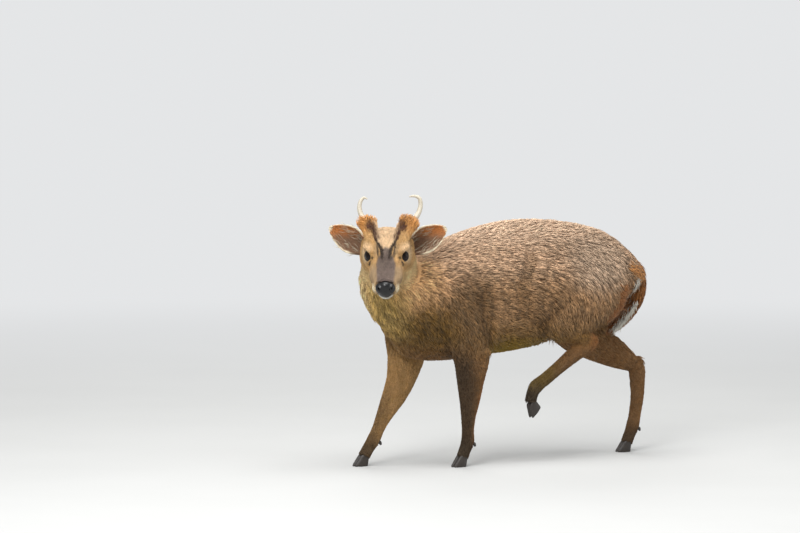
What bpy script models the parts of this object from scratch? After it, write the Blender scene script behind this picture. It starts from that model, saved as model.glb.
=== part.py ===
"""A muntjac buck, life size, walking with its head turned to its left.

Everything is in metres with +Z up, and the soles of the three standing feet are on Z = 0.
The animal heads along -X, so its left side is -Y. Its body is laid out in a frame of its own,
(forward, left, up), and its head in a second one, (along the face, left, up from the face),
whose origin lies midway between the eyes. The sizes include the coat.
"""
import math

import bmesh
import bpy
import numpy as np
from mathutils import Matrix, Vector
from mathutils.bvhtree import BVHTree

# Driving dimensions
GAP = 0.0003
FACE_CENTRE = (0.348, 0.090, 0.4265)
HEAD_TURN = math.radians(58)
HEAD_PITCH = math.radians(40)
EYE_RADIUS = 0.0125
EYE_PLACE = (-0.001, 0.0295, -0.0015)
EYE_LOOKS = Vector((0.50, 0.72, 0.48)).normalized()
EAR_LENGTH = 0.088
EAR_HALF_WIDTH = 0.0256
EAR_WALL = 0.0024
CLAW_WIDTH = 0.0102
CLAW_HEIGHT = 0.023
DEWCLAW_ROOT = 0.0040
DEWCLAW_TIP = 0.0020
DEWCLAW_LENGTH = 0.0085
DEWCLAW_TILT = math.radians(30)
ANTLER_RADIUS = 0.0051
ANTLER_TAPER = (1.25, 1.25, 1.10, 0.94, 0.78, 0.54, 0.22)

# How finely the flesh is fused, and the triangles each piece of it keeps
VOXEL = 0.0024
TRIANGLES = {
    "head": 3200, "neck": 650, "torso": 1900, "tail": 400, "nose": 400,
    "leg_fore_left": 760, "leg_fore_right": 760, "leg_hind_left": 1000, "leg_hind_right": 960,
}

# Trunk: place along the body, height of the back, height of the belly, half width
TRUNK = (
    (-0.288, 0.384, 0.356, 0.016),
    (-0.268, 0.404, 0.330, 0.044),
    (-0.225, 0.436, 0.300, 0.066),
    (-0.165, 0.466, 0.276, 0.083),
    (-0.090, 0.481, 0.246, 0.093),
    (0.000, 0.483, 0.223, 0.094),
    (0.080, 0.470, 0.214, 0.087),
    (0.150, 0.446, 0.206, 0.078),
    (0.215, 0.418, 0.207, 0.070),
    (0.270, 0.392, 0.226, 0.058),
    (0.298, 0.350, 0.258, 0.038),
    (0.308, 0.320, 0.284, 0.016),
)

# Neck: place, turn in degrees, half width, half depth above and below its line
NECK = (
    ((0.140, 0.000, 0.350), 0, 0.070, 0.089, 0.100),
    ((0.205, 0.000, 0.350), 8, 0.067, 0.074, 0.102),
    ((0.262, 0.002, 0.354), 20, 0.066, 0.066, 0.092),
    ((0.292, 0.008, 0.376), 38, 0.062, 0.062, 0.072),
    ((0.304, 0.028, 0.414), 54, 0.051, 0.052, 0.052),
    ((0.310, 0.046, 0.440), 58, 0.042, 0.030, 0.040),
)

# Each limb is a few tubes: place, half width, half depth in front and behind
LIMBS = {
    "leg_fore_left": (
        (
            ((0.180, 0.042, 0.372), 0.030, 0.040, 0.044),
            ((0.165, 0.052, 0.320), 0.034, 0.052, 0.052),
            ((0.146, 0.058, 0.265), 0.031, 0.046, 0.050),
            ((0.138, 0.060, 0.215), 0.026, 0.038, 0.040),
            ((0.139, 0.060, 0.174), 0.022, 0.030, 0.030),
            ((0.141, 0.060, 0.132), 0.017, 0.022, 0.022),
            ((0.144, 0.060, 0.100), 0.0135, 0.0155, 0.0155),
            ((0.145, 0.060, 0.070), 0.0115, 0.0125, 0.0125),
            ((0.146, 0.060, 0.050), 0.0130, 0.0130, 0.0140),
            ((0.152, 0.060, 0.034), 0.0120, 0.0115, 0.0125),
            ((0.158, 0.060, 0.019), 0.0118, 0.0130, 0.0125),
        ),
    ),
    "leg_fore_right": (
        (
            ((0.215, -0.040, 0.365), 0.030, 0.040, 0.044),
            ((0.225, -0.050, 0.312), 0.034, 0.050, 0.052),
            ((0.222, -0.055, 0.258), 0.031, 0.044, 0.050),
            ((0.222, -0.055, 0.213), 0.027, 0.038, 0.042),
            ((0.233, -0.053, 0.169), 0.023, 0.031, 0.031),
            ((0.250, -0.051, 0.136), 0.019, 0.0255, 0.0255),
            ((0.264, -0.050, 0.113), 0.016, 0.0205, 0.0195),
            ((0.276, -0.050, 0.092), 0.0135, 0.0160, 0.0150),
            ((0.287, -0.050, 0.071), 0.0115, 0.0130, 0.0125),
            ((0.298, -0.050, 0.051), 0.0130, 0.0130, 0.0140),
            ((0.309, -0.050, 0.036), 0.0120, 0.0115, 0.0125),
            ((0.319, -0.050, 0.019), 0.0118, 0.0130, 0.0125),
        ),
    ),
    "leg_hind_left": (
        (
            ((-0.185, 0.040, 0.415), 0.030, 0.060, 0.055),
            ((-0.160, 0.055, 0.365), 0.036, 0.085, 0.072),
            ((-0.125, 0.062, 0.325), 0.036, 0.080, 0.066),
            ((-0.080, 0.064, 0.292), 0.031, 0.052, 0.050),
            ((-0.050, 0.064, 0.275), 0.022, 0.028, 0.030),
        ),
        (
            ((-0.040, 0.064, 0.292), 0.022, 0.030, 0.030),
            ((-0.068, 0.064, 0.280), 0.027, 0.041, 0.040),
            ((-0.098, 0.062, 0.264), 0.023, 0.033, 0.034),
            ((-0.122, 0.060, 0.248), 0.018, 0.026, 0.027),
            ((-0.140, 0.059, 0.236), 0.014, 0.018, 0.017),
        ),
        (
            ((-0.154, 0.059, 0.245), 0.0090, 0.0090, 0.0090),
            ((-0.138, 0.059, 0.234), 0.0150, 0.0190, 0.0165),
            ((-0.112, 0.060, 0.219), 0.0140, 0.0175, 0.0165),
            ((-0.072, 0.060, 0.192), 0.0120, 0.0140, 0.0140),
            ((-0.036, 0.060, 0.167), 0.0115, 0.0130, 0.0130),
            ((-0.013, 0.060, 0.152), 0.0130, 0.0140, 0.0140),
            ((-0.004, 0.060, 0.138), 0.0120, 0.0120, 0.0125),
            ((0.000, 0.060, 0.122), 0.0118, 0.0125, 0.0125),
        ),
    ),
    "leg_hind_right": (
        (
            ((-0.190, -0.040, 0.415), 0.030, 0.060, 0.055),
            ((-0.195, -0.055, 0.350), 0.036, 0.085, 0.082),
            ((-0.200, -0.060, 0.290), 0.035, 0.082, 0.086),
            ((-0.205, -0.058, 0.248), 0.030, 0.062, 0.076),
            ((-0.210, -0.056, 0.226), 0.018, 0.030, 0.045),
        ),
        (
            ((-0.140, -0.058, 0.272), 0.024, 0.042, 0.036),
            ((-0.178, -0.056, 0.248), 0.028, 0.045, 0.046),
            ((-0.225, -0.050, 0.221), 0.024, 0.038, 0.040),
            ((-0.268, -0.043, 0.197), 0.019, 0.029, 0.029),
            ((-0.300, -0.037, 0.180), 0.014, 0.019, 0.017),
        ),
        (
            ((-0.319, -0.036, 0.192), 0.0090, 0.0090, 0.0090),
            ((-0.311, -0.036, 0.170), 0.0150, 0.0185, 0.0175),
            ((-0.311, -0.035, 0.143), 0.0140, 0.0165, 0.0160),
            ((-0.309, -0.033, 0.110), 0.0122, 0.0142, 0.0142),
            ((-0.302, -0.031, 0.075), 0.0115, 0.0126, 0.0130),
            ((-0.296, -0.030, 0.052), 0.0130, 0.0130, 0.0140),
            ((-0.289, -0.030, 0.036), 0.0120, 0.0115, 0.0125),
            ((-0.282, -0.030, 0.019), 0.0118, 0.0130, 0.0125),
        ),
    ),
}

# Tail: place, half width, half thickness
TAIL = (
    ((-0.255, 0.000, 0.396), 0.013, 0.0120),
    ((-0.280, 0.000, 0.376), 0.019, 0.0150),
    ((-0.287, 0.000, 0.344), 0.024, 0.0165),
    ((-0.277, 0.001, 0.310), 0.025, 0.0165),
    ((-0.252, 0.003, 0.278), 0.021, 0.0150),
    ((-0.228, 0.005, 0.258), 0.012, 0.0100),
    ((-0.218, 0.006, 0.250), 0.003, 0.0030),
)

# Skull and jaw, along the face: place, top, underside, half width
SKULL = (
    (-0.100, -0.028, -0.052, 0.034),
    (-0.082, -0.009, -0.057, 0.043),
    (-0.055, 0.015, -0.060, 0.0495),
    (-0.025, 0.028, -0.062, 0.0505),
    (0.000, 0.026, -0.056, 0.0440),
    (0.025, 0.019, -0.049, 0.0330),
    (0.048, 0.014, -0.043, 0.0265),
    (0.068, 0.010, -0.038, 0.0240),
    (0.080, 0.005, -0.034, 0.0200),
    (0.087, -0.003, -0.027, 0.0120),
)

# Rounded forms of the head that come in pairs: centre, radii
HEAD_PAIRS = (
    ((-0.032, 0.034, -0.034), (0.034, 0.019, 0.028)),
    ((-0.012, 0.029, 0.014), (0.026, 0.017, 0.015)),
    ((0.030, 0.021, -0.016), (0.032, 0.013, 0.020)),
    ((0.068, 0.0145, -0.019), (0.017, 0.0125, 0.0125)),
)
CHIN = ((0.066, 0.0, -0.035), (0.017, 0.016, 0.0095))

# Pedicles, frontal ridges and antlers, for the left side: places along the face, and radii
PEDICLE = (
    ((0.004, 0.024, 0.010), 0.0130),
    ((-0.018, 0.028, 0.022), 0.0150),
    ((-0.041, 0.0345, 0.031), 0.0165),
    ((-0.056, 0.0410, 0.0355), 0.0185),
    ((-0.062, 0.0430, 0.0385), 0.0150),
)
PEDICLE_LEAN = 0.0042
RIDGE = (
    ((-0.046, 0.024, 0.040), 0.0050),
    ((-0.020, 0.0165, 0.0345), 0.0042),
    ((0.006, 0.0095, 0.0245), 0.0036),
    ((0.028, 0.0065, 0.0165), 0.0024),
)
ANTLERS = {
    "antler_left": (
        (-0.054, 0.048, 0.034), (-0.064, 0.0530, 0.037), (-0.077, 0.0610, 0.041),
        (-0.090, 0.0655, 0.050), (-0.099, 0.0635, 0.0605), (-0.1025, 0.054, 0.0640),
        (-0.101, 0.0430, 0.0635),
    ),
    "antler_right": (
        (-0.055, -0.042, 0.034), (-0.064, -0.0450, 0.037), (-0.074, -0.0505, 0.0390),
        (-0.085, -0.0545, 0.047), (-0.095, -0.0525, 0.0555), (-0.101, -0.0460, 0.0605),
        (-0.099, -0.0390, 0.0590),
    ),
}

# Ear of the left side: root along the face, and share of the length, half width and curl
EAR_ROOT = (-0.0436, 0.0395, -0.0264)
EAR_SHAPE = (
    (0.00, 0.50, 150),
    (0.14, 0.66, 136),
    (0.30, 0.89, 108),
    (0.48, 1.00, 84),
    (0.64, 0.91, 70),
    (0.80, 0.69, 62),
    (0.92, 0.42, 56),
    (1.00, 0.14, 50),
)

# Feet: place of the coronet on the ground plan, its height, toe turn and pitch in degrees
FEET = {
    "fore_left": ((0.159, 0.060, CLAW_HEIGHT), 4, 0),
    "fore_right": ((0.320, -0.050, CLAW_HEIGHT), -4, 0),
    "hind_left": ((0.001, 0.060, 0.121), 0, 48),
    "hind_right": ((-0.281, -0.030, CLAW_HEIGHT), -4, 0),
}
FETLOCKS = {
    "fore_left": ((0.146, 0.060, 0.050), 0),
    "fore_right": ((0.298, -0.050, 0.051), 0),
    "hind_left": ((-0.012, 0.060, 0.150), 40),
    "hind_right": ((-0.296, -0.030, 0.052), 0),
}

# The region each limb takes from the trunk: centre of its round top, radius of that top,
# foot of the region, half width of its foot, and the inner plane
LIMB_REGIONS = {
    "leg_fore_left": ((0.160, 0.300), 0.072, (0.148, -0.05), 0.060, 0.020),
    "leg_fore_right": ((0.222, 0.296), 0.070, (0.290, -0.05), 0.085, -0.020),
    "leg_hind_left": ((-0.125, 0.345), 0.108, (-0.050, -0.05), 0.160, 0.024),
    "leg_hind_right": ((-0.200, 0.335), 0.096, (-0.250, -0.05), 0.120, -0.012),
}

FINISHES = {
    "coat": ((0.30, 0.18, 0.10), 0.85),
    "coat_pale": ((0.42, 0.28, 0.13), 0.85),
    "coat_dark": ((0.12, 0.075, 0.05), 0.85),
    "skin": ((0.025, 0.022, 0.024), 0.35),
    "eye": ((0.012, 0.008, 0.006), 0.05),
    "antler": ((0.80, 0.74, 0.60), 0.45),
    "hoof": ((0.035, 0.028, 0.024), 0.45),
}

BODY_FRAME = Matrix.Rotation(math.pi, 4, "Z")
HEAD_FRAME = (
    BODY_FRAME
    @ Matrix.Translation(FACE_CENTRE)
    @ Matrix.Rotation(HEAD_TURN, 4, "Z")
    @ Matrix.Rotation(HEAD_PITCH, 4, "Y")
)
MIRROR_LEFT = Matrix.Scale(-1, 4, (0, 1, 0))

parts = bpy.data.collections.new("muntjac")
helpers = bpy.data.collections.new("cutters")


def clear_scene():
    for old in list(bpy.data.objects):
        bpy.data.objects.remove(old)
    for group in (parts, helpers):
        bpy.context.scene.collection.children.link(group)


def add_object(name, mesh, group):
    made = bpy.data.objects.new(name, mesh)
    group.objects.link(made)
    return made


def finish_of(name):
    """The material with that name, made once."""
    material = bpy.data.materials.get(name)
    if material is None:
        colour, roughness = FINISHES[name]
        material = bpy.data.materials.new(name)
        material.use_nodes = True
        shader = material.node_tree.nodes["Principled BSDF"]
        shader.inputs["Base Color"].default_value = (*colour, 1)
        shader.inputs["Roughness"].default_value = roughness
        shader.inputs["Metallic"].default_value = 0.0
    return material


def mesh_from(shape, frame=None):
    """A mesh of the shape, placed by the frame, its faces pointing out."""
    if frame is not None:
        shape.transform(frame)
        shape.normal_update()
        bmesh.ops.recalc_face_normals(shape, faces=shape.faces)
    mesh = bpy.data.meshes.new("form")
    shape.to_mesh(mesh)
    shape.free()
    return mesh


def smooth_rows(rows, steps):
    """Catmull-Rom curve through the rows of numbers, with steps along each span."""
    rows = np.array(rows, dtype=float)
    padded = np.vstack([2 * rows[0] - rows[1], rows, 2 * rows[-1] - rows[-2]])
    curve = []
    for before, start, end, after in zip(padded, padded[1:], padded[2:], padded[3:]):
        for t in np.arange(steps) / steps:
            swing = (2 * before - 5 * start + 4 * end - after) * t * t
            twist = (3 * start - before - 3 * end + after) * t * t * t
            curve.append(start + 0.5 * ((end - before) * t + swing + twist))
    return np.array(curve + [rows[-1]])


def tube(rows, frame, sides=24, steps=4, square=False):
    """Closed tube through rows of (x, y, z, turn, half width, above, below).

    The half width lies along the left of a body turned by that angle, and the tube's line
    is followed unless square is true, when each ring lies level.
    """
    curve = smooth_rows(rows, steps)
    places = curve[:, :3]
    along = np.gradient(places, axis=0)
    shape = bmesh.new()
    rings = []
    for (x, y, z, turn, width, above, below), heading in zip(curve, along):
        ahead = Vector((0, 0, -1)) if square else Vector(heading).normalized()
        left = Vector((-math.sin(math.radians(turn)), math.cos(math.radians(turn)), 0))
        left = (left - left.dot(ahead) * ahead).normalized()
        up = ahead.cross(left)
        ring = []
        for angle in np.arange(sides) * 2 * math.pi / sides:
            reach = above if math.sin(angle) > 0 else below
            offset = left * width * math.cos(angle) + up * reach * math.sin(angle)
            ring.append(shape.verts.new(Vector((x, y, z)) + offset))
        rings.append(ring)
    for one, other in zip(rings, rings[1:]):
        for i in range(sides):
            j = (i + 1) % sides
            shape.faces.new((one[i], one[j], other[j], other[i]))
    shape.faces.new(rings[0][::-1])
    shape.faces.new(rings[-1])
    return mesh_from(shape, frame)


def ball(place, radii, frame, turned=Matrix.Identity(4), sides=20):
    shape = bmesh.new()
    bmesh.ops.create_uvsphere(shape, u_segments=sides, v_segments=sides * 2 // 3, radius=1)
    return mesh_from(shape, frame @ Matrix.Translation(place) @ turned @ Matrix.Diagonal((*radii, 1)))


def round_rows(spine):
    """Rows for a round tube from (place, radius) pairs."""
    return [(*place, 0, radius, radius, radius) for place, radius in spine]


def joined(meshes):
    shape = bmesh.new()
    for mesh in meshes:
        shape.from_mesh(mesh)
        bpy.data.meshes.remove(mesh)
    return mesh_from(shape)


def settle(thing):
    """Replaces an object's mesh by the shape its modifiers give."""
    bpy.context.view_layer.update()
    seen = thing.evaluated_get(bpy.context.evaluated_depsgraph_get())
    mesh = bpy.data.meshes.new_from_object(seen)
    thing.modifiers.clear()
    old = thing.data
    thing.data = mesh
    bpy.data.meshes.remove(old)


def fuse(thing, voxel):
    blend = thing.modifiers.new("fuse", "REMESH")
    blend.mode = "VOXEL"
    blend.voxel_size = voxel
    settle(thing)


def relax(thing, rounds, group=""):
    soft = thing.modifiers.new("relax", "SMOOTH")
    soft.factor = 0.5
    soft.iterations = rounds
    soft.vertex_group = group
    settle(thing)


def thin_out(thing, triangles):
    """Collapses edges until about that many triangles are left."""
    thing.data.calc_loop_triangles()
    share = triangles / len(thing.data.loop_triangles)
    if share < 1:
        fewer = thing.modifiers.new("fewer", "DECIMATE")
        fewer.ratio = share
        settle(thing)
        mend(thing)


def mend(thing):
    """Welds points that lie closer than the gap and closes the pinholes that leaves."""
    shape = bmesh.new()
    shape.from_mesh(thing.data)
    bmesh.ops.remove_doubles(shape, verts=shape.verts, dist=GAP * 1.5)
    bmesh.ops.dissolve_degenerate(shape, edges=shape.edges, dist=GAP / 10)
    rims = [edge for edge in shape.edges if edge.is_boundary]
    bmesh.ops.holes_fill(shape, edges=rims)
    bmesh.ops.triangulate(shape, faces=shape.faces)
    shape.to_mesh(thing.data)
    shape.free()


def combine(thing, tool, operation):
    """Cuts, joins or intersects an object with a tool that stays as it is."""
    cut = thing.modifiers.new("cut", "BOOLEAN")
    cut.operation = operation
    cut.object = tool
    settle(thing)


def keep_largest(thing):
    """Leaves the object with only its largest closed surface."""
    shape = bmesh.new()
    shape.from_mesh(thing.data)
    loose = set(shape.verts)
    islands = []
    while loose:
        island, edge_of_search = set(), [loose.pop()]
        while edge_of_search:
            vertex = edge_of_search.pop()
            island.add(vertex)
            for edge in vertex.link_edges:
                other = edge.other_vert(vertex)
                if other in loose:
                    loose.discard(other)
                    edge_of_search.append(other)
        islands.append(island)
    islands.sort(key=len)
    for island in islands[:-1]:
        bmesh.ops.delete(shape, geom=list(island), context="VERTS")
    shape.to_mesh(thing.data)
    shape.free()


def grown(thing):
    """A copy of an object, larger by the gap all round."""
    tool = add_object("grown", thing.data.copy(), helpers)
    tool.display_type = "WIRE"
    tool.hide_render = True
    push = tool.modifiers.new("push", "DISPLACE")
    push.mid_level = 0.0
    push.strength = GAP
    settle(tool)
    return tool


def seat(thing, *hosts):
    """Cuts a seat for the object, with the gap, out of each host."""
    tool = grown(thing)
    for host in hosts:
        combine(host, tool, "DIFFERENCE")
        keep_largest(host)
    bpy.data.objects.remove(tool)


def pedicle_spine(side):
    """Places and radii of one pedicle; both lean a little to the left."""
    last = len(PEDICLE) - 1
    return [
        ((along, side * out + PEDICLE_LEAN * i / last, up), radius)
        for i, ((along, out, up), radius) in enumerate(PEDICLE)
    ]


def head_forms():
    """Skull, jaw, cheeks, brows, lips, pedicles and frontal ridges."""
    rows = []
    for along, top, under, width in SKULL:
        half = (top - under) / 2
        rows.append((along, 0, (top + under) / 2, 0, width, half, half))
    forms = [tube(rows, HEAD_FRAME), ball(*CHIN, HEAD_FRAME)]
    for side in (Matrix.Identity(4), MIRROR_LEFT):
        frame = HEAD_FRAME @ side
        forms += [ball(place, radii, frame) for place, radii in HEAD_PAIRS]
        forms.append(tube(round_rows(RIDGE), frame, sides=10))
    for side in (1, -1):
        forms.append(tube(round_rows(pedicle_spine(side)), HEAD_FRAME, sides=16))
    return forms


def trunk_rows():
    rows = []
    for along, top, under, width in TRUNK:
        half = (top - under) / 2
        rows.append((along, 0, (top + under) / 2, 0, width, half, half))
    return rows


def make_flesh():
    """The whole body but for its ears, nose, tail and hard parts, fused to one surface."""
    forms = [tube(trunk_rows(), BODY_FRAME)]
    forms.append(tube([(*place, *sizes) for place, *sizes in NECK], BODY_FRAME))
    for tubes in LIMBS.values():
        for stations in tubes:
            rows = [(*place, 0, width, front, back) for place, width, front, back in stations]
            forms.append(tube(rows, BODY_FRAME))
    flesh = add_object("flesh", joined(forms + head_forms()), parts)
    fuse(flesh, VOXEL)
    soften(flesh)
    return flesh


def soften(flesh):
    """Blends the trunk and the upper limbs broadly, and the head and lower legs little."""
    broad = flesh.vertex_groups.new(name="broad")
    to_head = HEAD_FRAME.inverted()
    for vertex in flesh.data.vertices:
        height = np.clip((vertex.co.z - 0.16) / 0.09, 0, 1)
        behind_face = np.clip((-0.062 - (to_head @ vertex.co).x) / 0.03, 0, 1)
        broad.add([vertex.index], float(height * behind_face), "REPLACE")
    relax(flesh, 40, "broad")
    relax(flesh, 3)


def region(name, grow):
    """A prism round one limb: a round top, straight sides down past the foot."""
    (top_x, top_z), radius, (foot_x, foot_z), foot_half, inner = LIMB_REGIONS[name]
    side = math.copysign(1, inner)
    outline = []
    for angle in np.radians(np.linspace(-15, 195, 8)):
        reach = radius + grow
        outline.append((top_x + reach * math.cos(angle), top_z + reach * math.sin(angle)))
    outline.append((foot_x - foot_half - grow, foot_z))
    outline.append((foot_x + foot_half + grow, foot_z))
    shape = bmesh.new()
    base = [shape.verts.new((x, inner - side * grow, z)) for x, z in outline]
    face = shape.faces.new(base)
    pushed = bmesh.ops.extrude_face_region(shape, geom=[face])
    moved = [item for item in pushed["geom"] if isinstance(item, bmesh.types.BMVert)]
    bmesh.ops.translate(shape, verts=moved, vec=(0, side * 0.2, 0))
    return add_object("region", mesh_from(shape, BODY_FRAME), helpers)


def slab(place, heading, size, frame):
    """A plate as thick as the gap, square to the heading."""
    shape = bmesh.new()
    bmesh.ops.create_cube(shape, size=1)
    aim = Vector(heading).normalized().to_track_quat("X", "Z").to_matrix().to_4x4()
    thin = Matrix.Diagonal((GAP, *size, 1))
    return add_object("slab", mesh_from(shape, frame @ Matrix.Translation(place) @ aim @ thin), helpers)


def copy_of(thing, name):
    return add_object(name, thing.data.copy(), parts)


def part_limbs(flesh):
    """Takes each limb's region out of the flesh as an object of its own."""
    limbs = {}
    for name in LIMBS:
        limb = copy_of(flesh, name)
        tool = region(name, 0)
        combine(limb, tool, "INTERSECT")
        bpy.data.objects.remove(tool)
        wider = region(name, GAP)
        combine(flesh, wider, "DIFFERENCE")
        bpy.data.objects.remove(wider)
        keep_largest(limb)
        limbs[name] = limb
    keep_largest(flesh)
    return limbs


def part_spine(flesh):
    """Splits what is left of the flesh into head, neck and torso with two thin cuts."""
    collar = slab((0.222, 0.0, 0.340), (0.80, 0.05, 0.60), (0.30, 0.33), BODY_FRAME)
    nape = slab((0.305, 0.022, 0.410), (0.355, 0.568, 0.74), (0.24, 0.21), BODY_FRAME)
    for tool in (collar, nape):
        combine(flesh, tool, "DIFFERENCE")
        bpy.data.objects.remove(tool)
    shape = bmesh.new()
    shape.from_mesh(flesh.data)
    probes = {
        "torso": BODY_FRAME @ Vector((0.0, 0.0, 0.482)),
        "neck": BODY_FRAME @ Vector((0.262, 0.0, 0.430)),
        "head": HEAD_FRAME @ Vector((0.02, 0.0, 0.02)),
    }
    pieces = {}
    for name, probe in probes.items():
        shape.verts.ensure_lookup_table()
        start = min(shape.verts, key=lambda vertex: (vertex.co - probe).length)
        pieces[name] = island_of(start)
    meshes = {name: island_mesh(island) for name, island in pieces.items()}
    shape.free()
    bpy.data.objects.remove(flesh)
    return {name: add_object(name, mesh, parts) for name, mesh in meshes.items()}


def island_of(start):
    """The vertices joined to one vertex by edges."""
    seen, waiting = {start}, [start]
    while waiting:
        for edge in waiting.pop().link_edges:
            for vertex in edge.verts:
                if vertex not in seen:
                    seen.add(vertex)
                    waiting.append(vertex)
    return seen


def island_mesh(island):
    copy = bmesh.new()
    twin = {vertex: copy.verts.new(vertex.co) for vertex in island}
    for face in {face for vertex in island for face in vertex.link_faces}:
        copy.faces.new([twin[vertex] for vertex in face.verts])
    return mesh_from(copy)


def make_eyes():
    eyes = {}
    for name, side in (("eye_left", Matrix.Identity(4)), ("eye_right", MIRROR_LEFT)):
        mesh = ball(EYE_PLACE, (EYE_RADIUS,) * 3, HEAD_FRAME @ side, sides=14)
        eyes[name] = add_object(name, mesh, parts)
    return eyes


def open_lids(head):
    """Raises a lid round each eye and opens an almond between the lids."""
    aim = EYE_LOOKS.to_track_quat("Z", "Y").to_matrix().to_4x4()
    for side in (Matrix.Identity(4), MIRROR_LEFT):
        frame = HEAD_FRAME @ side @ Matrix.Translation(EYE_PLACE) @ aim
        lid = add_object("lid", lid_mesh(frame), helpers)
        combine(head, lid, "UNION")
        bpy.data.objects.remove(lid)
        shape = bmesh.new()
        bmesh.ops.create_cone(
            shape, segments=14, cap_ends=True, radius1=0.0080, radius2=0.0160, depth=0.018
        )
        outward = frame @ Matrix.Translation((0, 0, 0.0155)) @ Matrix.Diagonal((0.94, 1.0, 1, 1))
        opening = add_object("opening", mesh_from(shape, outward), helpers)
        combine(head, opening, "DIFFERENCE")
        bpy.data.objects.remove(opening)


def lid_mesh(frame):
    """A rounded ring that lies on the eyeball."""
    ring_radius, thickness, lift = 0.0112, 0.0026, 0.0074
    sides, around = 14, 6
    shape = bmesh.new()
    rings = []
    for angle in np.arange(sides) * 2 * math.pi / sides:
        out = Vector((math.cos(angle), math.sin(angle), 0))
        ring = []
        for turn in np.arange(around) * 2 * math.pi / around:
            reach = ring_radius + thickness * math.cos(turn)
            ring.append(shape.verts.new(out * reach + Vector((0, 0, lift + thickness * math.sin(turn)))))
        rings.append(ring)
    for i, ring in enumerate(rings):
        after = rings[(i + 1) % sides]
        for j in range(around):
            k = (j + 1) % around
            shape.faces.new((ring[j], after[j], after[k], ring[k]))
    return mesh_from(shape, frame @ Matrix.Diagonal((0.94, 1.04, 1, 1)))


def wire(places, radius, frame, taper=None):
    """Closed round tube through the places, whose radius the taper may scale at each."""
    curve = bpy.data.curves.new("wire", "CURVE")
    curve.dimensions = "3D"
    line = curve.splines.new("POLY")
    line.points.add(len(places) - 1)
    for point, place, share in zip(line.points, places, [1.0] * len(places) if taper is None else taper):
        point.co = (*place, 1)
        point.radius = share
    curve.bevel_depth = radius
    curve.bevel_resolution = 1
    curve.use_fill_caps = True
    holder = add_object("wire", curve, helpers)
    bpy.context.view_layer.update()
    seen = holder.evaluated_get(bpy.context.evaluated_depsgraph_get())
    shape = bmesh.new()
    shape.from_mesh(bpy.data.meshes.new_from_object(seen))
    bpy.data.objects.remove(holder)
    bmesh.ops.remove_doubles(shape, verts=shape.verts, dist=0.00001)
    return mesh_from(shape, frame)


def surface_point(tree, start, heading):
    """Where a ray from inside the head leaves it, in the head's own frame."""
    origin = HEAD_FRAME @ Vector(start)
    aim = HEAD_FRAME.to_3x3() @ Vector(heading).normalized()
    hit = tree.ray_cast(origin, aim)[0]
    return HEAD_FRAME.inverted() @ hit


def groove_face(head):
    """Cuts the line of the mouth and the slits of the face glands."""
    shape = bmesh.new()
    shape.from_mesh(head.data)
    tree = BVHTree.FromBMesh(shape)
    shape.free()
    mouth = []
    for angle in np.radians(np.linspace(-108, 108, 19)):
        heading = (math.cos(angle), math.sin(angle) * 0.72, -0.10 - 0.10 * math.cos(angle))
        mouth.append(surface_point(tree, (0.052, 0.0, -0.019), heading))
    line = add_object("mouth", wire(mouth, 0.0012, HEAD_FRAME), helpers)
    combine(head, line, "DIFFERENCE")
    bpy.data.objects.remove(line)
    for side in (1, -1):
        place = surface_point(tree, (0.020, 0.0, -0.006), (0.0, side, 0.02))
        aim = Matrix.Rotation(math.radians(-38), 4, "Y")
        gland = add_object("gland", ball(place, (0.0066, 0.0022, 0.0014), HEAD_FRAME, aim, 10), helpers)
        combine(head, gland, "DIFFERENCE")
        bpy.data.objects.remove(gland)
    keep_largest(head)


def make_nose():
    """The bare pad of the muzzle, with its two nostrils."""
    forms = [ball((0.083, 0.0, -0.011), (0.0125, 0.0165, 0.0190), HEAD_FRAME)]
    for side in (Matrix.Identity(4), MIRROR_LEFT):
        frame = HEAD_FRAME @ side
        forms.append(ball((0.084, 0.0105, -0.0065), (0.0112, 0.0095, 0.0105), frame))
    nose = add_object("nose", joined(forms), parts)
    fuse(nose, 0.0012)
    relax(nose, 3)
    thin_out(nose, TRIANGLES["nose"])
    for side in (Matrix.Identity(4), MIRROR_LEFT):
        aim = Matrix.Rotation(math.radians(38), 4, "X")
        pit = ball((0.0930, 0.0112, -0.0005), (0.0050, 0.0040, 0.0026), HEAD_FRAME @ side, aim, 10)
        tool = add_object("nostril", pit, helpers)
        combine(nose, tool, "DIFFERENCE")
        bpy.data.objects.remove(tool)
    return nose


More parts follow.
